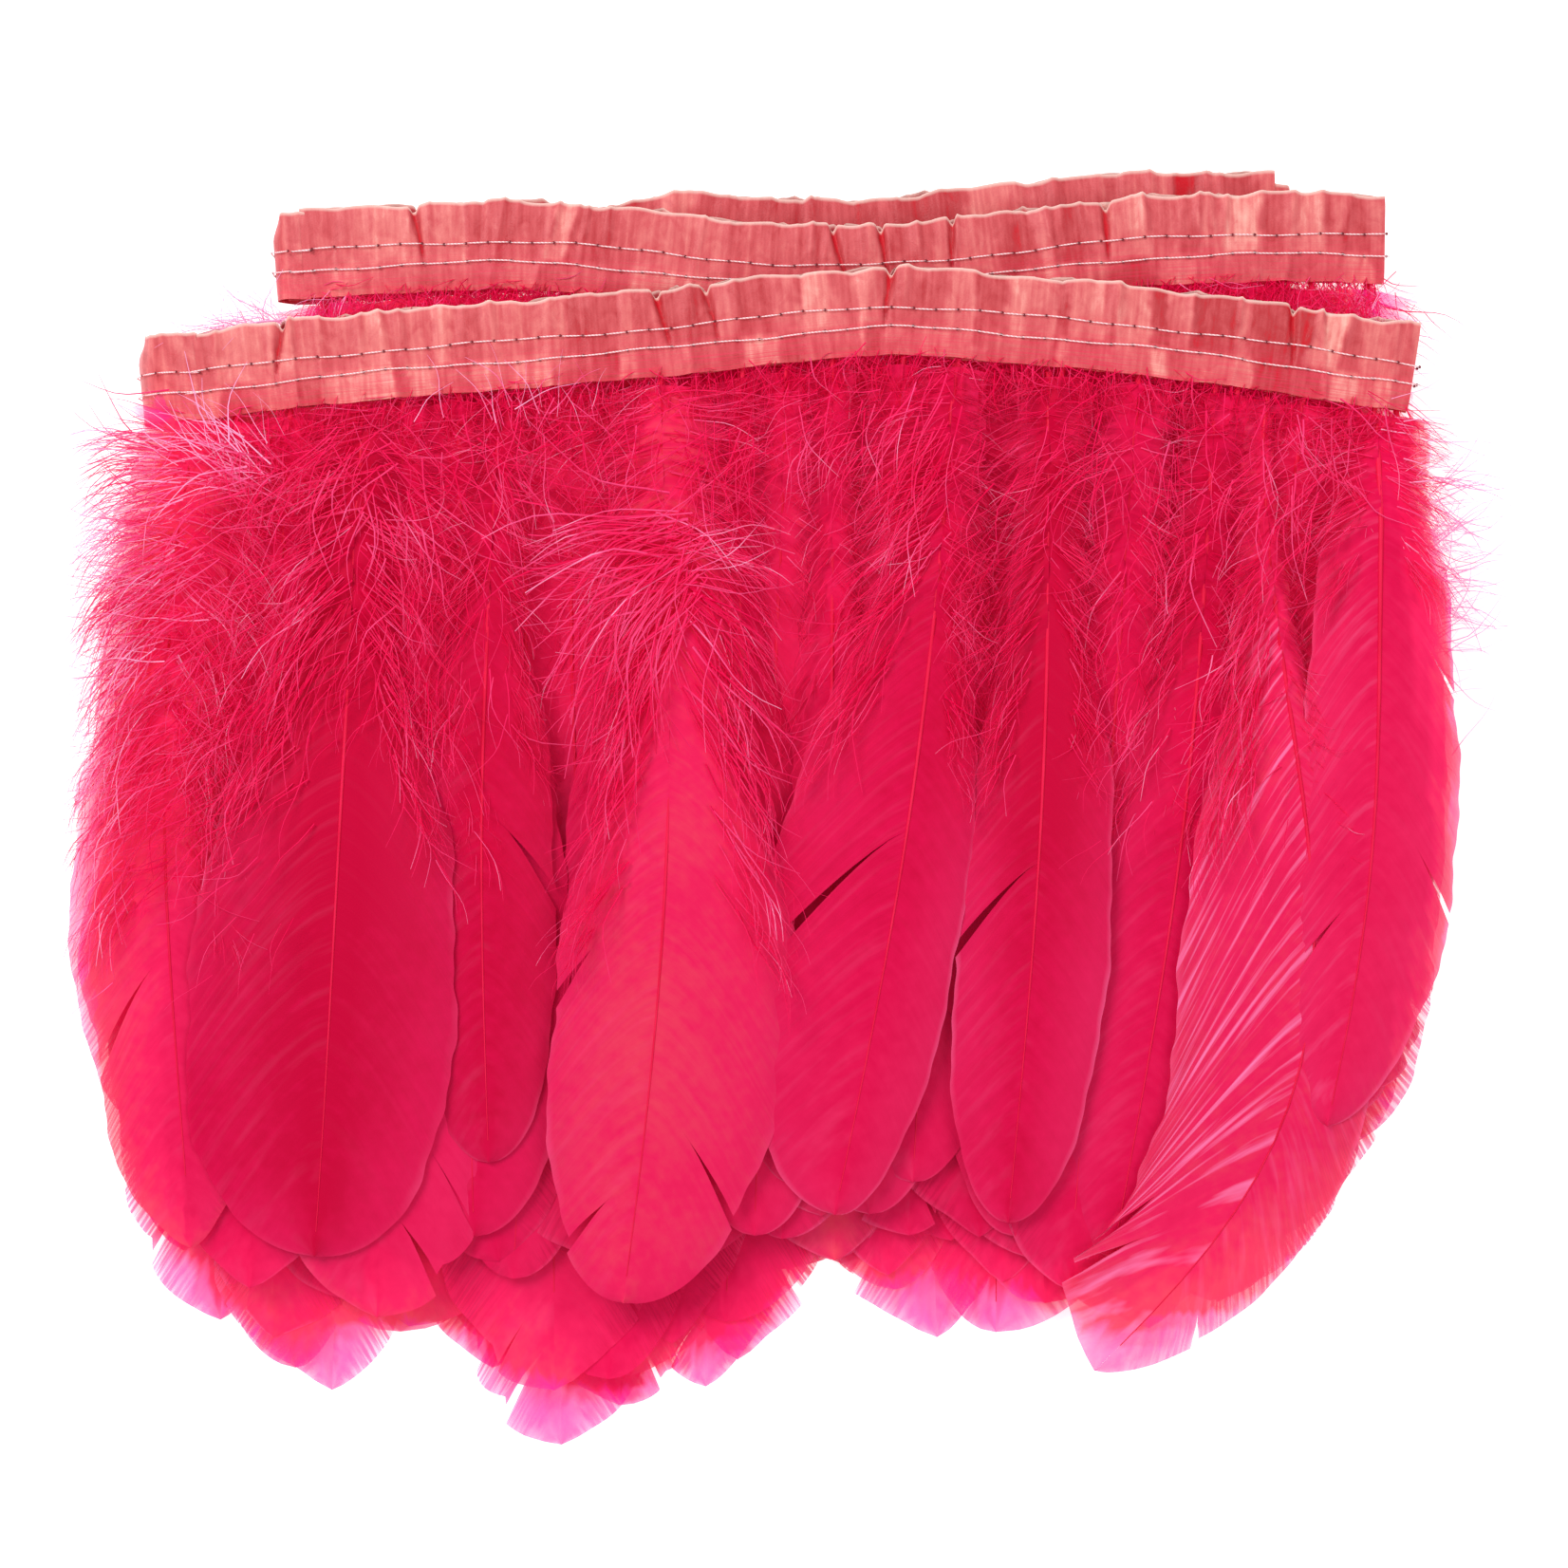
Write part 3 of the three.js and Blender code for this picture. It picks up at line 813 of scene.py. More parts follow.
# ---- stitching ----
def stitch_tree():
    """Stitches of thread along a polyline, with dark discs of painted shade for the needle's holes between
    them.
    """
    tree, given, result = geometry_tree("seam", [
        ("Pitch", "NodeSocketFloat", STITCH_PITCH * MM), ("Stitch", "NodeSocketFloat", 2.7 * MM),
        ("Thread radius", "NodeSocketFloat", THREAD_RADIUS * MM),
        ("Hole radius", "NodeSocketFloat", HOLE_RADIUS * MM),
        ("Thread", "NodeSocketMaterial", None), ("Hole", "NodeSocketMaterial", None)])
    curve = node(tree, "GeometryNodeMeshToCurve", {0: given.outputs["Geometry"]})
    spaced = node(tree, "GeometryNodeResampleCurve", {"Curve": curve.outputs[0]}, mode="LENGTH")
    tree.links.new(given.outputs["Pitch"], spaced.inputs["Length"])
    tangent = node(tree, "GeometryNodeInputTangent").outputs[0]
    facing = node(tree, "GeometryNodeInputNamedAttribute", {"Name": "facing"}, data_type="FLOAT_VECTOR")
    ahead = node(tree, "FunctionNodeAlignRotationToVector", {"Vector": tangent}, axis="X")
    turn = node(tree, "FunctionNodeAlignRotationToVector", {
        "Rotation": ahead.outputs[0], "Vector": facing.outputs[0]}, axis="Z", pivot_axis="X")

    def arched(inner, factor):
        centred = minus(inner, factor, 0.5)
        dip = times(inner, maths(inner, "POWER", maths(inner, "ABSOLUTE", centred), 3.0), -1.1)
        return node(inner, "ShaderNodeCombineXYZ", {0: -0.5, 2: dip}).outputs[0]

    line, factor = bent_line(tree, 9, arched)
    stretch = node(tree, "ShaderNodeCombineXYZ")
    for axis, measure in enumerate(("Stitch", "Thread radius", "Thread radius")):
        tree.links.new(given.outputs[measure], stretch.inputs[axis])
    rounded = minus(tree, 1.0, maths(tree, "POWER", maths(
        tree, "ABSOLUTE", minus(tree, times(tree, factor, 2.0), 1.0)), 6.0))
    thick = plus(tree, times(tree, rounded, 0.8), 0.2)
    section = node(tree, "GeometryNodeCurvePrimitiveCircle", {"Resolution": 6, "Radius": 1.0})
    stitch = node(tree, "GeometryNodeCurveToMesh", {
        "Curve": line, "Profile Curve": section.outputs[0], "Scale": thick, "Fill Caps": True})
    placed = node(tree, "GeometryNodeInstanceOnPoints", {
        "Points": spaced.outputs[0], "Instance": stitch.outputs[0], "Rotation": turn.outputs[0],
        "Scale": stretch.outputs[0]})
    threaded = node(tree, "GeometryNodeSetMaterial", {"Geometry": placed.outputs[0]})
    tree.links.new(given.outputs["Thread"], threaded.inputs["Material"])
    hole = node(tree, "GeometryNodeMeshCircle", {"Vertices": 8, "Radius": 1.0}, fill_type="TRIANGLE_FAN")
    halfway = node(tree, "ShaderNodeVectorMath", {0: tangent}, operation="SCALE")
    tree.links.new(times(tree, given.outputs["Pitch"], 0.5), halfway.inputs["Scale"])
    shifted = node(tree, "GeometryNodeSetPosition", {
        "Geometry": spaced.outputs[0], "Offset": halfway.outputs[0]})
    holes = node(tree, "GeometryNodeInstanceOnPoints", {
        "Points": shifted.outputs[0], "Instance": hole.outputs[0], "Rotation": turn.outputs[0]})
    tree.links.new(given.outputs["Hole radius"], holes.inputs["Scale"])
    dark = node(tree, "GeometryNodeSetMaterial", {"Geometry": holes.outputs[0]})
    tree.links.new(given.outputs["Hole"], dark.inputs["Material"])
    both = node(tree, "GeometryNodeJoinGeometry")
    tree.links.new(threaded.outputs[0], both.inputs[0])
    tree.links.new(dark.outputs[0], both.inputs[0])
    real = node(tree, "GeometryNodeRealizeInstances", {"Geometry": both.outputs[0]})
    even = node(tree, "GeometryNodeSetShadeSmooth", {"Geometry": real.outputs[0]})
    tree.links.new(even.outputs[0], result.inputs[0])
    return tree


SEAM_TREE = stitch_tree()


def sew(points, facing, stitch, name):
    """Stitches along a line of points, on the side that the tape faces."""
    mesh = bpy.data.meshes.new("seam_line")
    mesh.from_pydata((points * MM).tolist(), [(i, i + 1) for i in range(len(points) - 1)], [])
    layer = mesh.attributes.new("facing", "FLOAT_VECTOR", "POINT")
    layer.data.foreach_set("vector", facing.astype(np.float32).reshape(-1))
    return grow(SEAM_TREE, mesh, name, Stitch=stitch * MM, Thread=THREAD, Hole=NEEDLE_HOLE_SHADE)


def leaf_row(route, row, height, side):
    """The line that a row of stitches follows on one side of a leaf."""
    u = np.arange(0.0, route.length - 1.0, 1.0)
    point, across = route.at(u)
    wander = row + 0.22 * np.sin(u * 0.13 + row) + 0.12 * np.sin(u * 0.41)
    plan = point + across * wander[:, None]
    z = np.maximum(height + side * 0.62 + 0.12 * side * np.sin(u * 0.7), 2 * LOWEST)
    return np.column_stack([plan, z]), np.tile([0.0, 0.0, float(side)], (len(u), 1))


def make_stitching():
    for leaf, route in ROUTES.items():
        for label, (row, stitch) in SEAM_ROWS.items():
            name = f"{leaf}_{label}_seam"
            sides = ((1, route.top_z), (-1, route.low_z))
            obj = join([sew(*leaf_row(route, row, height, side), stitch, name) for side, height in sides])
            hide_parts(f"{leaf}_leaf_{label}_stitching")
            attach(obj, LEAF_BODY[leaf])


def join(objects):
    """The objects as one, which keeps the first one's name."""
    first, *others = objects
    mesh = bmesh.new()
    for obj in objects:
        mesh.from_mesh(obj.data)
    mesh.to_mesh(first.data)
    mesh.free()
    for obj in others:
        bpy.data.objects.remove(obj)
    return first


# ---- feathers ----
FULL_COVER = 7.0            # so many layers let no light through


class Pile:
    """Counts how many feathers lie over each spot of the plan: light comes through where they are few."""

    CELL = 3.0

    def __init__(self):
        lo, hi = (np.array(c) / MM for c in CAD_BOX)
        self.origin = lo[:2] - 30
        self.shape = tuple(((hi - lo)[:2] + 60) / self.CELL)
        self.shape = tuple(int(n) + 1 for n in self.shape)
        self.count = np.zeros(self.shape)

    def cells(self, points):
        index = np.floor((points[..., :2] - self.origin) / self.CELL).astype(int)
        return np.clip(index, 0, np.array(self.shape) - 1)

    def add(self, grids):
        covered = np.zeros(self.shape)
        for points in grids:
            index = self.cells(points.reshape(-1, 3))
            covered[index[:, 0], index[:, 1]] = 1
        self.count += covered

    def thinness(self, points):
        """1 where a single feather lies over the table, down to 0 where seven or more do."""
        index = self.cells(points)
        last = np.array(self.shape) - 1
        near = 0
        for step in ((0, 0), (0, 1), (1, 0), (0, -1), (-1, 0)):
            beside = np.clip(index + step, 0, last)
            near = near + self.count[beside[..., 0], beside[..., 1]]
        return np.clip((FULL_COVER - near / 5) / (FULL_COVER - 1), 0, 1)


class Feather:
    """One feather: its root, tip and shape in plan, and the height at which it lies."""

    def __init__(self, root, tip, width, level, seed, bow=0.0, late=1.0, roll=0.0, camber=1.0, dye=0.5,
                 shade=(0.0, 0.0), splits=2, slits=(), wrinkle=0.12, fine=False, vane_from=0.30, widest=0.68,
                 point=0.5, uneven=0.0, sweep=1.0, root_z=None, fluff=1.0, neck=0.45, crease=0.05, torn=0,
                 fray=0.0, arch=1.3):
        self.root, self.tip = np.array(root, float), np.array(tip, float)
        self.width, self.level, self.bow, self.roll = width, level, bow, roll
        self.camber, self.dye, self.splits, self.wrinkle = camber, dye, splits, wrinkle
        self.fine, self.vane_from, self.widest, self.point = fine, vane_from, widest, point
        self.uneven, self.sweep, self.fluff, self.neck, self.crease = uneven, sweep, fluff, neck, crease
        self.torn, self.arch, self.late = torn, arch, late
        self.shade, self.slits, self.fray = shade, slits, fray
        self.root_z = level if root_z is None else root_z
        self.rng = np.random.default_rng(seed)
        run = self.tip - self.root
        self.length = float(np.linalg.norm(run))
        self.run = run / self.length
        self.right = np.array([-self.run[1], self.run[0]])
        self.grids = [self.vane(side) for side in (-1, 1)]

    def shaft(self, t):
        """Points in plan, direction towards the tip and direction to the side, at shares t of the length."""
        t = np.asarray(t, float)
        share = np.clip(t, 0.001, None)
        bend = math.pi * share ** self.late
        away = self.bow * np.sin(bend)
        point = self.root + self.run * (t * self.length)[..., None] + self.right * away[..., None]
        slope = self.bow * np.cos(bend) * math.pi * self.late * share ** (self.late - 1) / self.length
        ahead = self.run + self.right * slope[..., None]
        ahead /= np.linalg.norm(ahead, axis=-1, keepdims=True)
        return point, ahead, np.stack([-ahead[..., 1], ahead[..., 0]], -1)

    def height(self, t):
        """Height of the shaft, which comes from between the tapes down or up to where the feather lies."""
        t = np.asarray(t, float)
        return self.root_z + (self.level - self.root_z) * smooth(0.0, 0.16, t)

    def half_width(self, t, side):
        """Half width of the vane where its outline has come to the share t."""
        rising = self.neck + (1 - self.neck) * smooth(-0.05, self.widest, t)
        closing = np.clip((t - self.widest) / (1 - self.widest), 0, 1)
        closed = np.clip(1 - closing ** 2.4, 0, 1) ** self.point
        return self.width / 2 * (1 + self.uneven * side) * rising * closed

    def reach(self, t, side):
        """How far towards the tip a barb runs from its root on the shaft to its end on the outline."""
        return self.half_width(t, side) * (0.10 + 1.10 * smooth(0.0, 0.5, t)) * self.sweep

    def downy(self, t, s):
        edge = self.vane_from + 0.16 * s
        return 1 - smooth(edge - 0.10, edge + 0.05, t)

    def vane(self, side):
        """One side of the vane, as barbs that leave the shaft side by side; a split parts two barbs."""
        rng = self.rng
        kind = "fine" if self.fine else "plain"
        rows, columns = BARB_ROWS[kind], BARB_COLUMNS[kind]
        cuts = sorted(rng.uniform(self.vane_from + 0.15, 0.95, rng.integers(0, self.splits + 1)))
        cuts = [(place, rng.uniform(0.25, 0.8), rng.uniform(0.6, 1.8), 6.0) for place in cuts]
        cuts += [(place, depth, gap, 9.0) for hand, place, depth, gap in self.slits if hand == side]
        locks = np.sort(rng.uniform(0.64, 0.98, self.torn))
        cuts += [(place, rng.uniform(0.45, 0.9), rng.uniform(0.6, 2.2), 4.0) for place in locks]
        t = 1 - 0.988 * (1 - np.linspace(0, 1, rows)) ** 1.25
        t = np.sort(np.concatenate([t] + [[place, place] for place, _, _, _ in cuts]))
        s = np.linspace(0, 1, columns + 1)
        slip = np.zeros((len(t), columns + 1))
        keep = np.ones((len(t) - 1, columns), bool)
        for place, depth, gap, fade_length in cuts:
            first = int(np.searchsorted(t, place))
            hand = np.where(np.arange(len(t)) <= first, -1.0, 1.0)
            fade = np.exp(-np.abs(t - place) * self.length / fade_length)
            slip += gap * (hand * fade)[:, None] * smooth(1 - depth, 1.0, s)[None, :]
            keep[first] = False
        borders = np.array([0.52, *locks, 1.0])
        lock = np.clip(np.searchsorted(borders, t, side="right") - 1, 0, len(borders) - 2)
        within = (t - borders[lock]) / (borders[lock + 1] - borders[lock])
        off_middle = np.where((t > borders[0]) & (self.torn > 0), 2 * within - 1, 0.0)
        shift = -0.09 * off_middle * np.abs(off_middle) * (borders[lock + 1] - borders[lock]) * self.length
        slip += np.clip(shift, -2.2, 2.2)[:, None] * (s ** 2)[None, :]
        slip *= np.minimum(self.half_width(t, side) / 7.0, 1)[:, None]
        downy_row = self.downy(t, 0.7)
        swell = rng.uniform(0, 6, 3)
        ragged = 0.020 * np.sin(t * 27 + swell[0]) + 0.012 * np.sin(t * 61 + swell[1])
        ragged = ragged + 0.006 * np.sin(t * 150 + swell[2])
        tapered = 1 - 0.10 * off_middle ** 2
        ends = self.half_width(t, side) * (1 + ragged) * (1 - 0.22 * downy_row) * tapered
        forward = self.reach(t, side)
        out = ends[:, None] * s[None, :] ** 0.92
        along = (t * self.length - forward)[:, None] + forward[:, None] * s[None, :] ** self.arch + slip
        base = np.clip(t - forward / self.length, 0, 1)
        point, ahead, right = self.shaft(base)
        step = along - (base * self.length)[:, None]
        plan = point[:, None, :] + side * right[:, None, :] * out[..., None]
        plan = plan + ahead[:, None, :] * step[..., None]
        z = self.height(base)[:, None] - self.camber * (s ** 2)[None, :] * smooth(0.02, 0.3, t)[:, None]
        z = z + side * out * math.tan(math.radians(self.roll))
        phase = rng.uniform(0, 6, 6)
        run = t * self.length
        waves = sum(np.sin(run / pitch + p) for pitch, p in zip((0.9, 1.7, 3.1, 6.3), phase)) / 2
        puffs = np.sin(run / 2.1 + phase[4])[:, None] * np.sin(s * 4 + phase[5])[None, :]
        z = z + self.wrinkle * waves[:, None] * (s ** 0.8)[None, :]
        z = z + 0.55 * puffs * downy_row[:, None]
        return settle(np.concatenate([plan, z[..., None]], -1)), t, s, keep

    def draw(self, skin, pile, behind=0.0):
        """Adds the vane and the shaft; behind is how far the quill runs back beyond the root."""
        for side, (points, t, s, keep) in zip((-1, 1), self.grids):
            run = t * self.length / 100 + self.rng.uniform(0, 9)
            uv = np.stack(np.broadcast_arrays(s[None, :], run[:, None]), -1)
            worn = self.fray * smooth(0.5, 0.75, t) * (1 - 0.7 * smooth(0.93, 1.0, t))
            toward_tip, toward_edge = self.shade
            dye = self.dye + toward_tip * smooth(0.35, 1.0, t)[:, None] + toward_edge * (s ** 2)[None, :]
            values = {
                "dye": dye,
                # crease sets how much painted crease highlight a vane gets: strong on the left vane, faint
                # on the right.
                "crease": np.full(points.shape[:2], self.crease * (1.0 if side < 0 else 0.15)),
                "fray": np.tile(worn[:, None], (1, len(s))),
                "downy": self.downy(t[:, None], s[None, :]),
                "thin": pile.thinness(points),
            }
            if side > 0:
                points, uv, keep = points[:, ::-1], uv[:, ::-1], keep[:, ::-1]
                values = {label: value[:, ::-1] for label, value in values.items()}
            skin.grid(points, uv, 0, keep, **values)
        t = np.linspace(-behind / self.length, 0.97 - 0.06 * min(self.torn, 1), 26)
        point, _, right = self.shaft(t)
        radius = SHAFT_RADIUS * (0.14 + 0.86 * (1 - np.clip(t, 0, 1)) ** 1.3)
        turns = np.linspace(0, 2 * math.pi, 7)[:-1]
        out = np.cos(turns)[None, :, None] * radius[:, None, None]
        lift = np.sin(turns)[None, :] * radius[:, None] * 0.8
        rise = 0.6 * smooth(self.vane_from - 0.1, self.vane_from + 0.1, t)
        z = (self.height(t) - 0.5 + rise)[:, None] + lift
        points = settle(np.concatenate([point[:, None, :] + right[:, None, :] * out, z[..., None]], -1))
        uv = np.stack(np.broadcast_arrays(turns[None, :] / 7, t[:, None]), -1)
        even = np.full(points.shape[:2], self.dye)
        none = np.zeros(points.shape[:2])
        skin.grid(points[:, ::-1], uv, 1, closed=True, dye=even, crease=none, fray=none, downy=none,
                  thin=pile.thinness(points))


# ---- down ----
class Barbs:
    """Where barbs of down grow: a point, a direction and a size for each."""

    def __init__(self, pile):
        self.points, self.turns, self.sizes, self.pale = [], [], [], []
        self.pile = pile
        low, high = (c / MM for c in CAD_BOX)
        self.low = low + Vector((-12, -8, 0.6))
        self.high = high + Vector((14, 8, 7.5))

    def add(self, point, aim, length, sway, thick, pale, tipward, rng):
        """aim is the barb's direction; tipward says whether it curls to the feathers' tips."""
        point = Vector(point)
        x = Vector(aim).normalized()
        point.z = max(point.z, LOWEST + 0.07 * thick + max(0.0, -x.z * length))
        y = Vector((0, 0, 1)).cross(x).normalized()
        bend = 0.3 * sway * (-1 if (y.y > 0) == tipward else 1)
        end = point + x * length + y * bend
        for axis in range(3):
            beyond = max(end[axis] - self.high[axis], self.low[axis] - end[axis], 0.0)
            span_used = abs(end[axis] - point[axis])
            if beyond > 0 and span_used > 0:
                length *= max(1 - beyond / span_used, 0.15)
                sway *= max(1 - beyond / span_used, 0.15)
        basis = Matrix((x, y, x.cross(y))).transposed()
        roll = (math.pi if bend < 0 else 0.0) + rng.normal(0, 0.12)
        basis = basis @ Matrix.Rotation(roll, 3, "X")
        self.points.append(point * MM)
        self.turns.append(basis.to_euler("XYZ"))
        self.sizes.append((length * MM, sway * MM, thick * MM))
        # Painted light: barbs that end where few feathers lie over the table are made paler, as if the
        # table's light came through them.
        outside = smooth(0.6, 1.0, self.pile.thinness(np.array([*(point + x * length * 0.8)])))
        self.pale.append(np.clip(pale + 0.35 * outside, 0, 1))

    def feather(self, feather, per_side):
        """Locks of down along the base of a feather, and the fur along the edges where its vane begins."""
        rng = feather.rng
        top = feather.vane_from + 0.22
        for side in (-1, 1):
            phase = rng.uniform(0, 6, 3)
            for t in np.sort(rng.uniform(0.01, top, int(per_side * feather.fluff))):
                run = t * feather.length
                lock = math.sin(run / 2.4 + phase[0]) + 0.6 * math.sin(run / 1.3 + phase[1])
                wide, forward = float(feather.half_width(t, side)), float(feather.reach(t, side))
                near = rng.uniform(0.0, 0.65) + 0.3 * float(smooth(feather.vane_from - 0.05, top, t))
                base = max(t - forward / feather.length, 0.0)
                point, ahead, right = feather.shaft(np.array(base))
                place = point + side * right * wide * near ** 0.92 + ahead * forward * near ** feather.arch
                lean = math.atan2(wide, forward * 1.2) + math.radians(6 * lock + rng.normal(0, 5))
                plan = ahead * math.cos(lean) + side * right * math.sin(lean)
                length = wide * (1.3 - near) * (1.0 + 0.2 * lock + rng.normal(0, 0.12))
                length = float(np.clip(length, 4.0, 30))
                z = float(feather.height(base)) + rng.uniform(0.1, 0.8)
                place = settle(np.array([*place, z]))
                self.add(place, (*plan, rng.uniform(0.0, 0.12)), length, length * rng.uniform(0.3, 1.0),
                         17.0, rng.beta(1.6, 4.0), rng.random() < 0.9, rng)

    def roots(self, leaf, count, seed):
        """Short down that fills the gaps between the shafts, all along a tape."""
        rng = np.random.default_rng(seed)
        route = ROUTES[leaf]
        point, across = route.at(rng.uniform(2.0, route.length - 1.0, count))
        for place, up in zip(point, across):
            down = rng.uniform(-1.6, 5.0)
            place = place - up * (TAPE_WIDTH / 2 + down - 1.0)
            bearing = math.radians(rng.normal(270, 38))
            z = rng.uniform(route.low_z - 0.3, route.top_z - 0.3)
            length = rng.uniform(6, 13)
            self.add((*place, z), (math.cos(bearing), math.sin(bearing), rng.uniform(-0.1, 0.1)), length,
                     length * rng.uniform(0.4, 1.2), 26.0, rng.beta(1.4, 4.5), rng.random() < 0.7, rng)

    def tuft(self, centre, bearing, lengths, count, seed,
             pale=0.75, spread=(5.0, 5.0), curl=0.8, thick=19.0):
        """Long loose strands that flow one way from around a centre; bearing is (middle, half range)."""
        rng = np.random.default_rng(seed)
        for _ in range(count):
            share = rng.uniform(-1, 1)
            angle = math.radians(bearing[0] + bearing[1] * share)
            aim = (math.cos(angle), math.sin(angle), rng.uniform(0, 0.1))
            length = rng.uniform(*lengths)
            place = np.array(centre, float) + [*rng.normal(0, spread), rng.uniform(-0.5, 0.8)]
            self.add(place, aim, length, length * rng.uniform(0.3, 1.1), thick,
                     np.clip(rng.normal(pale, 0.14), 0, 1), rng.random() < curl, rng)

    def grow(self, tree, name):
        mesh = bpy.data.meshes.new(name)
        mesh.from_pydata(self.points, [], [])
        for label, kind, values in (
                ("turn", "FLOAT_VECTOR", self.turns),
                ("size", "FLOAT_VECTOR", self.sizes),
                ("pale", "FLOAT", self.pale)):
            layer = mesh.attributes.new(label, kind, "POINT")
            flat = np.array(values, np.float32).reshape(-1)
            layer.data.foreach_set("vector" if kind == "FLOAT_VECTOR" else "value", flat)
        return grow(tree, mesh, name, Down=DOWN)


def down_tree():
    """Barbs of down on points that hold each one's turn and size; three bends are shared out among them."""
    tree, given, result = geometry_tree("down", [
        ("Radius", "NodeSocketFloat", 0.0115), ("Seed", "NodeSocketInt", 4),
        ("Down", "NodeSocketMaterial", None)])
    shapes = node(tree, "GeometryNodeJoinGeometry")
    for bend, wave, turns in ((0.34, 0.012, 9.0), (0.22, 0.034, 6.5), (0.50, 0.018, 10.0)):
        def curl(inner, factor, bend=bend, wave=wave, turns=turns):
            squared = times(inner, maths(inner, "POWER", factor, 2.0), bend)
            ripple = times(inner, maths(inner, "SINE", times(inner, factor, turns)), wave)
            hump = times(inner, factor, minus(inner, 1.0, factor))
            lift = times(inner, hump, bend * 0.5)
            return node(inner, "ShaderNodeCombineXYZ", {
                0: times(inner, squared, -0.4), 1: plus(inner, squared, ripple), 2: lift}).outputs[0]

        line, factor = bent_line(tree, 8, curl)
        labelled = node(tree, "GeometryNodeStoreNamedAttribute", {
            "Geometry": line, "Name": "along", "Value": factor}, data_type="FLOAT", domain="POINT")
        section = node(tree, "GeometryNodeCurvePrimitiveCircle", {"Resolution": 3})
        tree.links.new(given.outputs["Radius"], section.inputs["Radius"])
        taper = minus(tree, 1.0, times(tree, factor, 0.75))
        barb = node(tree, "GeometryNodeCurveToMesh", {
            "Curve": labelled.outputs[0], "Profile Curve": section.outputs[0],
            "Scale": taper, "Fill Caps": True})
        single = node(tree, "GeometryNodeGeometryToInstance", {0: barb.outputs[0]})
        tree.links.new(single.outputs[0], shapes.inputs[0])
    turn = node(tree, "GeometryNodeInputNamedAttribute", {"Name": "turn"}, data_type="FLOAT_VECTOR")
    size = node(tree, "GeometryNodeInputNamedAttribute", {"Name": "size"}, data_type="FLOAT_VECTOR")
    pick = node(tree, "FunctionNodeRandomValue", data_type="INT")
    pick.inputs[4].default_value = 0
    pick.inputs[5].default_value = 2
    tree.links.new(given.outputs["Seed"], pick.inputs["Seed"])
    placed = node(tree, "GeometryNodeInstanceOnPoints", {
        "Points": given.outputs["Geometry"], "Instance": shapes.outputs[0], "Pick Instance": True,
        "Instance Index": pick.outputs[2], "Rotation": turn.outputs[0], "Scale": size.outputs[0]})
    real = node(tree, "GeometryNodeRealizeInstances", {"Geometry": placed.outputs[0]})
    dressed = node(tree, "GeometryNodeSetMaterial", {"Geometry": real.outputs[0]})
    tree.links.new(given.outputs["Down"], dressed.inputs["Material"])
    even = node(tree, "GeometryNodeSetShadeSmooth", {"Geometry": dressed.outputs[0]})
    tree.links.new(even.outputs[0], result.inputs[0])
    return tree


DOWN_TREE = down_tree()


# ---- where the feathers are ----
BARBS_PER_SIDE = {"lifting": 230, "front": 120, "second": 46, "third": 30, "bottom": 30}
QUILL_BEHIND = 9.0         # how far a sewn quill runs back from where its feather is sewn
HIDDEN_CLUMPS = 8          # on each of the leaves under the front one
CLUMP_FEATHERS = 3
CLUMP_SPREAD = 34.0


# The front feathers that lift: how far the tip is to the right of the hinge, how far it reaches beyond the
# CAD solid's tip, the vane's width, its height over the solid's underside, and how the feather is shaped.
FRONT = {
    1: dict(lean=-3, extra=6, width=30, level=1.8, bow=-5, late=0.7, torn=1, fray=0.2, dye=0.55,
            shade=(0.1, 0.2), splits=2, vane_from=0.46, fluff=1.9, point=0.45, neck=0.95, widest=0.6,
            uneven=-0.1),
    2: dict(lean=-10, extra=5, width=49, level=4.6, bow=1, dye=-0.30, shade=(0.34, 0.42), splits=1,
            roll=-1.5, camber=2.4, vane_from=0.34, uneven=-0.08, point=0.46, widest=0.72, neck=0.38),
    3: dict(lean=-7, extra=5, width=43, level=6.2, bow=5, dye=0.72, shade=(0.14, -0.1), splits=1,
            camber=2.2, vane_from=0.44, fluff=1.4, uneven=0.1, neck=0.6,
            slits=((-1, 0.945, 0.6, 1.5), (1, 0.90, 0.6, 1.3))),
    4: dict(lean=-22, extra=5, width=36, level=5.8, bow=3, dye=0.12, shade=(0.22, 0.18), splits=0,
            camber=2.4, uneven=-0.3, arch=1.15, slits=((-1, 0.72, 1.0, 1.7),)),
    5: dict(lean=-7, extra=3, width=28, level=4.8, bow=2, dye=-0.05, shade=(0.22, 0.25), splits=0,
            camber=1.8, arch=1.15, slits=((-1, 0.68, 1.0, 1.4),)),
    6: dict(lean=-31, extra=6, width=45, level=5.4, bow=27, late=1.55, dye=0.58, shade=(0.1, 0.2),
            splits=0, wrinkle=0.14, uneven=-0.42, vane_from=0.26, sweep=1.15, camber=2.0, crease=1.0,
            arch=1.06, fray=0.2, neck=0.12, widest=0.80, point=0.62,
            slits=((-1, 0.90, 0.35, 1.8), (-1, 0.955, 0.4, 2.2), (1, 0.94, 0.3, 1.2))),
    7: dict(lean=-9, extra=13, width=29, level=7.0, bow=3.4, late=1.4, dye=0.44, shade=(0.08, 0.14),
            splits=1, wrinkle=0.12, vane_from=0.08, camber=2.2, crease=0.15, neck=0.7, widest=0.6,
            point=0.6, uneven=0.05, sweep=1.2, fluff=0.6,
            slits=((-1, 0.80, 0.7, 1.4), (1, 0.7, 0.5, 1.0))),
}

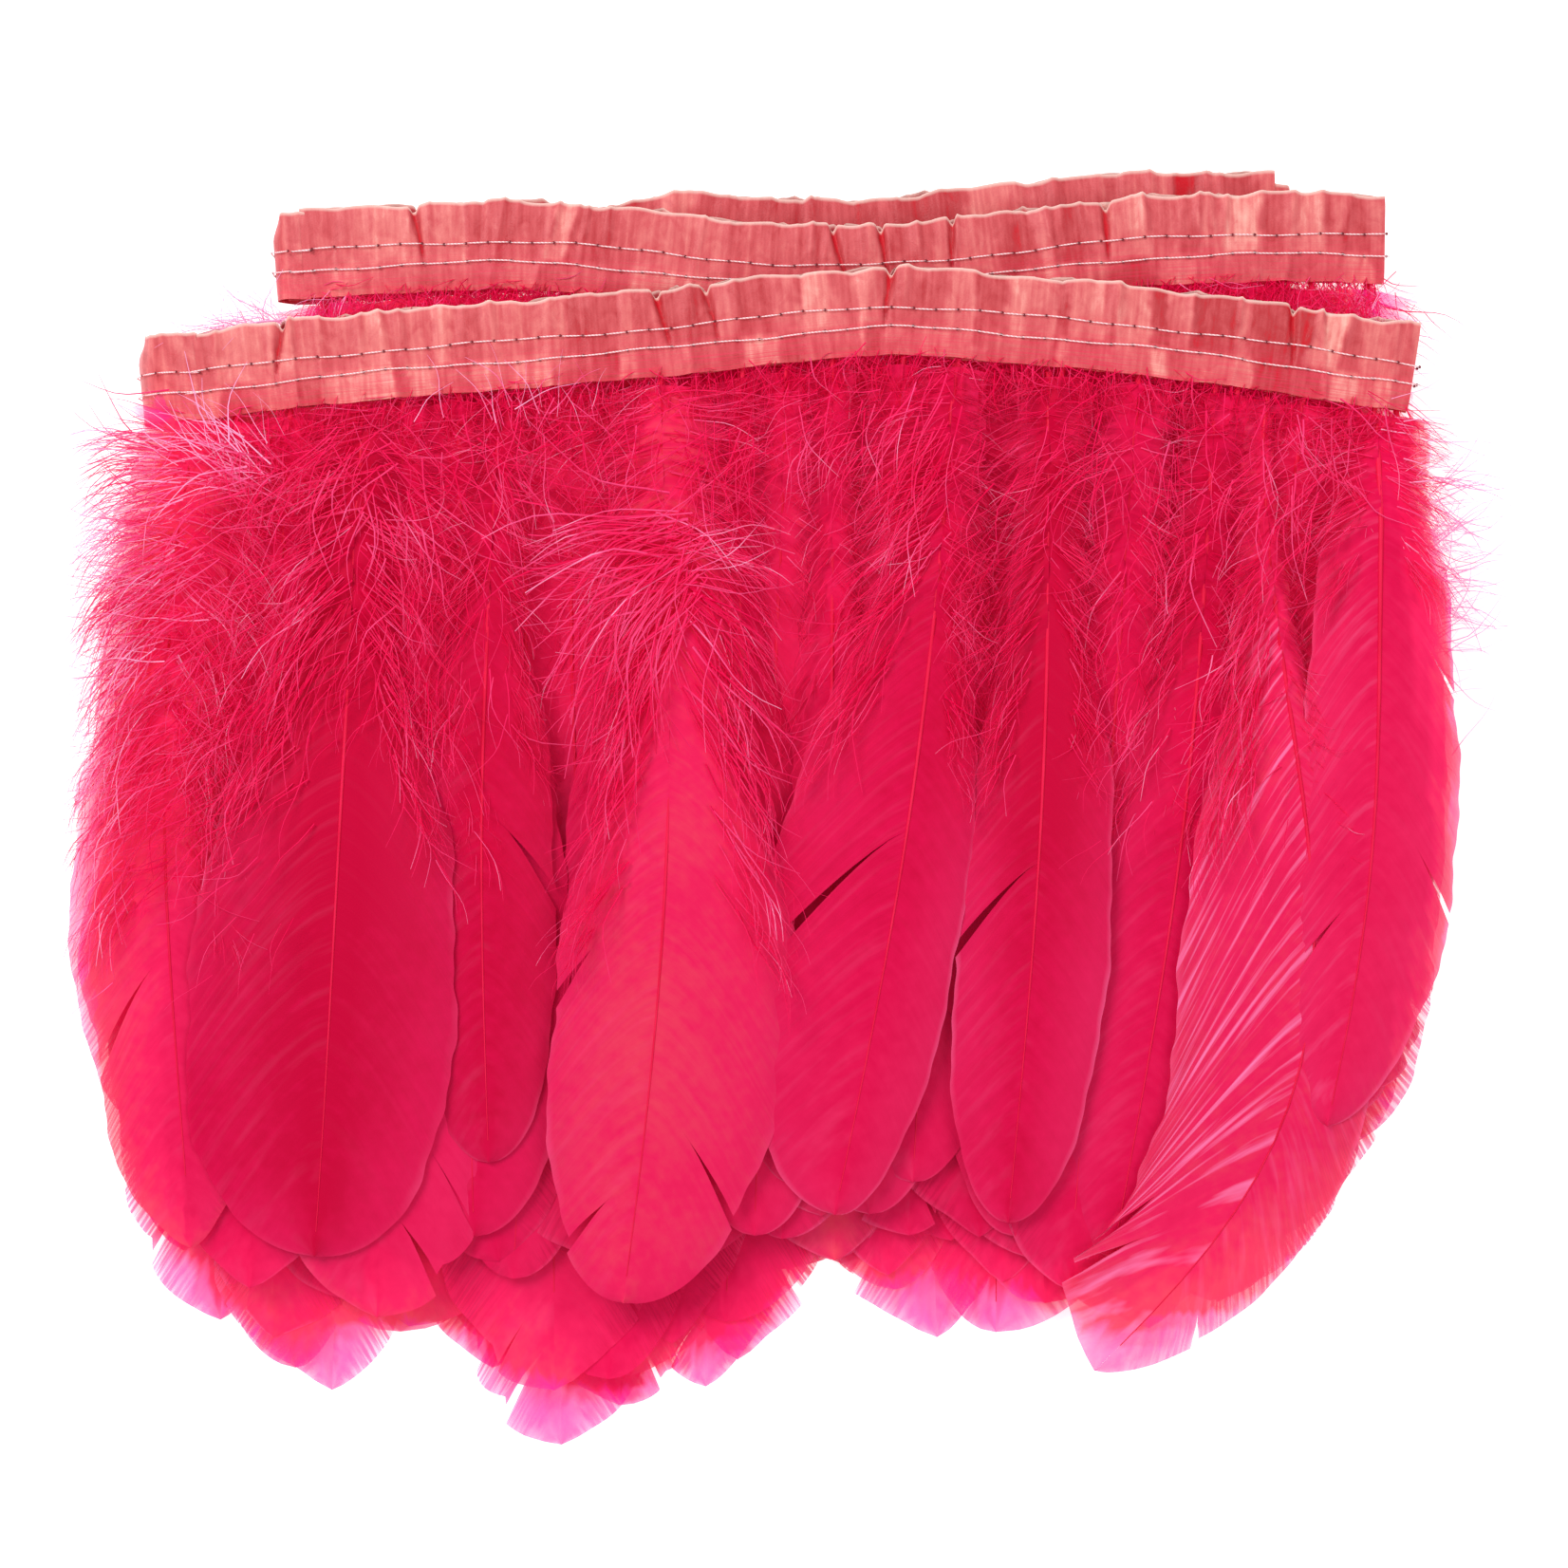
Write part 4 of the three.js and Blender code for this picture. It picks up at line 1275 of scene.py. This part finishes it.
# Feathers under those, by CAD solid: how far root and tip are to the right of its middle, and the tip above
# its lower end.
UNDER = {
    1: [dict(root=-8, tip=(-16, 12), width=32, level=1.4, dye=0.6, splits=3, vane_from=0.40, fluff=1.8,
             neck=0.9, widest=0.6, fray=0.2, torn=1, bow=-5, late=0.62),
        dict(root=0, tip=(-10, 0), width=30, level=2.4, dye=0.4, neck=0.8, point=0.5, torn=2, fray=0.2,
             bow=-3),
        dict(root=10, tip=(1, -12), width=36, level=1.9, dye=0.42, torn=2)],
    2: [dict(root=-8, tip=(-14, -13), width=46, level=3.2, dye=0.3, shade=(0.2, 0.2), camber=1.4,
             torn=2),
        dict(root=10, tip=(7, 16), width=27, level=4.0, dye=0.12, camber=1.4, fluff=1.4, bow=-2),
        dict(root=2, tip=(4, 2), width=38, level=2.0, dye=0.3)],
    3: [dict(root=-9, tip=(-9, 8), width=36, level=1.4, dye=0.4),
        dict(root=6, tip=(15, 10), width=21, level=3.6, dye=0.1, bow=-4, camber=1.8, fluff=1.3),
        dict(root=14, tip=(8, 0), width=32, level=2.0, dye=0.5)],
    4: [dict(root=-9, tip=(-9, 10), width=22, level=3.0, dye=0.32, camber=1.8),
        dict(root=4, tip=(-2, -4), width=32, level=1.6, dye=0.5),
        dict(root=14, tip=(6, 2), width=30, level=2.2, dye=0.42)],
    5: [dict(root=-6, tip=(-14, 0), width=32, level=1.6, dye=0.5),
        dict(root=22, tip=(4, -4), width=30, level=4.0, dye=0.16, shade=(0.2, 0.1), camber=1.9, bow=3),
        dict(root=8, tip=(-4, -10), width=36, level=2.4, dye=0.4, torn=2, fray=0.2)],
    6: [dict(root=-8, tip=(-24, -20), width=38, level=1.6, dye=0.5, torn=3, fray=0.3),
        dict(root=12, tip=(1, -6), width=32, level=3.2, dye=0.5, vane_from=0.26, crease=0.3, torn=3,
             fray=0.3),
        dict(root=4, tip=(-12, -18), width=38, level=2.4, dye=0.5, crease=0.3, torn=3, fray=0.3)],
    7: [dict(root=-4, tip=(-9, -21), width=26, level=1.6, dye=0.5, torn=3, fray=0.4),
        dict(root=2, tip=(-3, -15), width=22, level=2.8, dye=0.6, vane_from=0.36, fluff=1.6, neck=0.7,
             torn=3, fray=0.4),
        dict(root=0, tip=(-3, 10), width=22, level=3.6, dye=0.4, fluff=1.6)],
}

# Where the three feathers of some hidden clumps end: how far to the right of the CAD solid's middle, and
# above its lower end.
HEM = {
    "bottom_leaf_feather_1": ((-16, 1), (-9, -12), (5, -21)),
    "bottom_leaf_feather_2": ((-7, 12), (6, -2.5), (17, 5)),
    "bottom_leaf_feather_3": ((-12, 1), (2, 6), (13, 7)),
    "bottom_leaf_feather_4": ((-15, -15), (-5, -19), (8, -14)),
    "bottom_leaf_feather_5": ((-14, 2), (-3, -8), (10, 3)),
    "bottom_leaf_feather_6": ((-6, -2), (8, -4), (14, 1)),
    "bottom_leaf_feather_7": ((-10, -1), (-2, -10), (9, -9)),
    "bottom_leaf_feather_8": ((-11, -12), (-1, -4), (10, 7)),
    "third_leaf_feather_1": ((-12, -6), (0, -11), (10, -7)),
    "third_leaf_feather_2": ((-9, -8), (2, -12), (12, -8)),
    "third_leaf_feather_5": ((-8, -4), (2, -16), (12, -14)),
    "third_leaf_feather_7": ((-10, 0), (-2, -4), (10, -6)),
}

# Long loose strands over the bases of the front feathers, by the solid that they grow on.
STRANDS = {
    1: [dict(centre=(-96, 60, 26), bearing=(158, 38), lengths=(12, 24), count=60, seed=1, spread=(3, 3),
             pale=0.6),
        dict(centre=(-112, 46, 25), bearing=(190, 28), lengths=(10, 19), count=230, seed=2, pale=0.4,
             spread=(5, 10)),
        dict(centre=(-113, 14, 24), bearing=(207, 20), lengths=(9, 18), count=260, seed=3, pale=0.32,
             spread=(5, 15)),
        dict(centre=(-100, 18, 26), bearing=(222, 24), lengths=(9, 18), count=170, seed=39, pale=0.3,
             spread=(7, 15)),
        dict(centre=(-98, 66, 26), bearing=(285, 60), lengths=(10, 20), count=70, seed=21, pale=0.25,
             spread=(7, 3)),
        dict(centre=(-99, 66, 27.5), bearing=(112, 32), lengths=(8, 17), count=18, seed=31, pale=0.8,
             spread=(8, 2)),
        dict(centre=(-95, 87, 19.5), bearing=(150, 45), lengths=(8, 15), count=95, seed=32, pale=0.7,
             spread=(4, 2.5), thick=16.0)],
    2: [dict(centre=(-80, 62, 26), bearing=(215, 30), lengths=(12, 24), count=60, seed=4, pale=0.35,
             spread=(7, 5)),
        dict(centre=(-66, 60, 26), bearing=(305, 26), lengths=(12, 26), count=60, seed=5, pale=0.4,
             spread=(8, 6)),
        dict(centre=(-80, 34, 26), bearing=(232, 24), lengths=(8, 18), count=90, seed=22, pale=0.3,
             spread=(6, 8)),
        dict(centre=(-62, 30, 26), bearing=(262, 24), lengths=(8, 18), count=70, seed=33, pale=0.3,
             spread=(6, 9)),
        dict(centre=(-74, 90, 19.0), bearing=(265, 60), lengths=(5, 11), count=170, seed=34, pale=0.25,
             spread=(11, 2.5))],
    3: [dict(centre=(-20, 48, 28), bearing=(193, 32), lengths=(20, 38), count=80, seed=6, pale=0.42,
             spread=(3, 4)),
        dict(centre=(-20, 40, 28), bearing=(232, 24), lengths=(18, 36), count=80, seed=23, pale=0.34,
             spread=(3, 5)),
        dict(centre=(-18, 48, 28), bearing=(8, 36), lengths=(12, 24), count=30, seed=7, pale=0.55,
             spread=(3, 4)),
        dict(centre=(-40, 68, 27), bearing=(225, 60), lengths=(8, 18), count=60, seed=8, pale=0.4,
             spread=(9, 4)),
        dict(centre=(-46, 62, 27), bearing=(330, 40), lengths=(10, 22), count=34, seed=24, pale=0.4,
             spread=(8, 6)),
        dict(centre=(-46, 71, 27.5), bearing=(75, 45), lengths=(6, 15), count=26, seed=41, pale=0.75,
             spread=(9, 2), thick=14.0),
        dict(centre=(-15, 68, 27.5), bearing=(250, 55), lengths=(9, 19), count=80, seed=40, pale=0.3,
             spread=(8, 4))],
    4: [dict(centre=(8, 70, 27), bearing=(215, 40), lengths=(8, 18), count=80, seed=9, pale=0.3,
             spread=(9, 4)),
        dict(centre=(26, 66, 27), bearing=(235, 25), lengths=(12, 24), count=70, seed=25, pale=0.3,
             spread=(5, 8)),
        dict(centre=(36, 40, 27), bearing=(215, 24), lengths=(6, 13), count=70, seed=35, pale=0.35,
             spread=(2.5, 14))],
    5: [dict(centre=(54, 66, 27), bearing=(225, 35), lengths=(8, 20), count=70, seed=10, pale=0.25,
             spread=(9, 5)),
        dict(centre=(66, 58, 27), bearing=(300, 30), lengths=(8, 20), count=40, seed=26, pale=0.35,
             spread=(6, 8)),
        dict(centre=(62, 26, 27), bearing=(228, 22), lengths=(7, 14), count=80, seed=36, pale=0.35,
             spread=(3, 14))],
    6: [dict(centre=(88, 60, 27), bearing=(235, 30), lengths=(10, 22), count=70, seed=11, pale=0.4,
             spread=(8, 7)),
        dict(centre=(98, 66, 27), bearing=(300, 30), lengths=(8, 18), count=40, seed=27, pale=0.45,
             spread=(6, 4)),
        dict(centre=(84, 22, 27), bearing=(232, 22), lengths=(7, 15), count=80, seed=37, pale=0.4,
             spread=(4, 12))],
    7: [dict(centre=(116, 46, 24), bearing=(0, 55), lengths=(7, 18), count=190, seed=12, pale=0.8,
             spread=(3, 12), curl=0.6, thick=13.0),
        dict(centre=(109, 86, 20), bearing=(20, 55), lengths=(5, 11), count=40, seed=38, pale=0.7,
             spread=(2, 5), thick=14.0),
        dict(centre=(101, 92, 18), bearing=(265, 60), lengths=(6, 12), count=150, seed=42, pale=0.15,
             spread=(6, 2.5))],
}


ROOT_DOWN = {"front": 1700, "second": 4000, "third": 2200, "bottom": 1800}


def root_on(leaf, x):
    """The place at x where a shaft comes out from between a leaf's tapes."""
    route = ROUTES[leaf]
    x = float(np.clip(x, route.middle[0, 0] + 3, route.middle[-1, 0] - 3))
    return x, route.lower_edge(x) - 0.5


def front_feather(number, spec):
    """A feather that lifts, from its hinge to its CAD solid's tip."""
    name = f"front_feather_{number}"
    hinge = next(Vector(joint["pos_m"]) / MM for joint in frame["joints"] if joint["child"] == name)
    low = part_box(name)[0] / MM
    shape = {key: value for key, value in spec.items() if key not in ("lean", "extra", "width", "level")}
    tip = (hinge.x + spec["lean"], low.y - spec["extra"])
    return Feather((hinge.x, hinge.y), tip, spec["width"], low.z + spec["level"], 100 + number, fine=True,
                   root_z=hinge.z, **shape)


def under_feathers(number, specs):
    low, high = (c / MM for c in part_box(f"front_under_feather_{number}"))
    middle = (low.x + high.x) / 2
    route = ROUTES["front"]
    made = []
    for i, spec in enumerate(specs):
        shape = {key: value for key, value in spec.items() if key not in ("root", "tip", "width", "level")}
        root = root_on("front", middle + spec["root"])
        tip = (middle + spec["tip"][0], low.y + spec["tip"][1])
        made.append(Feather(root, tip, spec["width"], low.z + spec["level"], 300 + number * 10 + i,
                            root_z=(route.top_z + route.low_z) / 2, **shape))
    return made


def clump(name, leaf, seed):
    """The feathers that a CAD solid of a hidden leaf stands for."""
    rng = np.random.default_rng(seed)
    low, high = (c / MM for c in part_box(name))
    middle, wide = (low.x + high.x) / 2, high.x - low.x
    route = ROUTES[leaf]
    made = []
    for i in range(CLUMP_FEATHERS):
        share = (i + 0.5) / CLUMP_FEATHERS - 0.5
        root = root_on(leaf, middle + share * CLUMP_SPREAD + rng.normal(0, 1.5))
        short = rng.uniform(0, 7) if i != CLUMP_FEATHERS // 2 else 0.0
        lean = -9.0 * smooth(10, 60, middle) + rng.normal(0, 4.0)
        across, up = HEM[name][i] if name in HEM else (share * CLUMP_SPREAD * 0.9 + lean, short)
        made.append(Feather(
            root, (middle + across, low.y + up), wide * rng.uniform(0.75, 1.05),
            low.z + 0.6 + 2.0 * rng.random(), seed * 17 + i,
            bow=rng.normal(0, 3), roll=rng.normal(0, 1.0), camber=rng.uniform(0.1, 0.4),
            dye=rng.uniform(0.3, 0.75), torn=int(rng.integers(0, 4)), fray=rng.uniform(0.25, 0.65), splits=5,
            wrinkle=rng.uniform(0.08, 0.2), root_z=(route.top_z + route.low_z) / 2,
            vane_from=rng.uniform(0.24, 0.34), point=rng.uniform(0.46, 0.66),
            uneven=rng.uniform(-0.25, 0.25), widest=rng.uniform(0.68, 0.80), neck=rng.uniform(0.6, 0.85)))
    return made


def make_plumage():
    """All feathers with their down; each CAD solid has a piece of vanes and a piece of down."""
    plans = []
    for number, spec in FRONT.items():
        name = f"front_feather_{number}"
        plans.append((name, name, [front_feather(number, spec)], BARBS_PER_SIDE["lifting"], 0.0, []))
    for number, specs in UNDER.items():
        name = f"front_under_feather_{number}"
        feathers = under_feathers(number, specs)
        plans.append((
            name, "front_leaf", feathers, BARBS_PER_SIDE["front"], QUILL_BEHIND, STRANDS[number]))
    for order, leaf in enumerate(("bottom", "third", "second")):
        for number in range(1, HIDDEN_CLUMPS + 1):
            name = f"{leaf}_leaf_feather_{number}"
            feathers = clump(name, leaf, 200 + 20 * order + number)
            plans.append((name, LEAF_BODY[leaf], feathers, BARBS_PER_SIDE[leaf], QUILL_BEHIND, []))
    pile = Pile()
    for _, _, feathers, _, _, _ in plans:
        for feather in feathers:
            pile.add([grid[0] for grid in feather.grids])
    for name, body, feathers, per_side, behind, tufts in plans:
        skin, barbs = Skin(), Barbs(pile)
        for feather in feathers:
            feather.draw(skin, pile, behind)
            barbs.feather(feather, per_side)
        for tuft in tufts:
            barbs.tuft(**tuft)
        vanes = skin.piece(f"{name}_vanes", [VANE, SHAFT])
        down = barbs.grow(DOWN_TREE, f"{name}_down")
        for obj in (vanes, down):
            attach(obj, body)
        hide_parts(name)
    for leaf, count in ROOT_DOWN.items():
        barbs = Barbs(pile)
        barbs.roots(leaf, count, len(leaf))
        down = barbs.grow(DOWN_TREE, f"{leaf}_root_down")
        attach(down, LEAF_BODY[leaf])


make_tapes()
make_folds()
make_stitching()
make_plumage()


sizes = {"cad": CAD_BOX, "visual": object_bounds()}
{key: [list(corner) for corner in box] for key, box in sizes.items()}
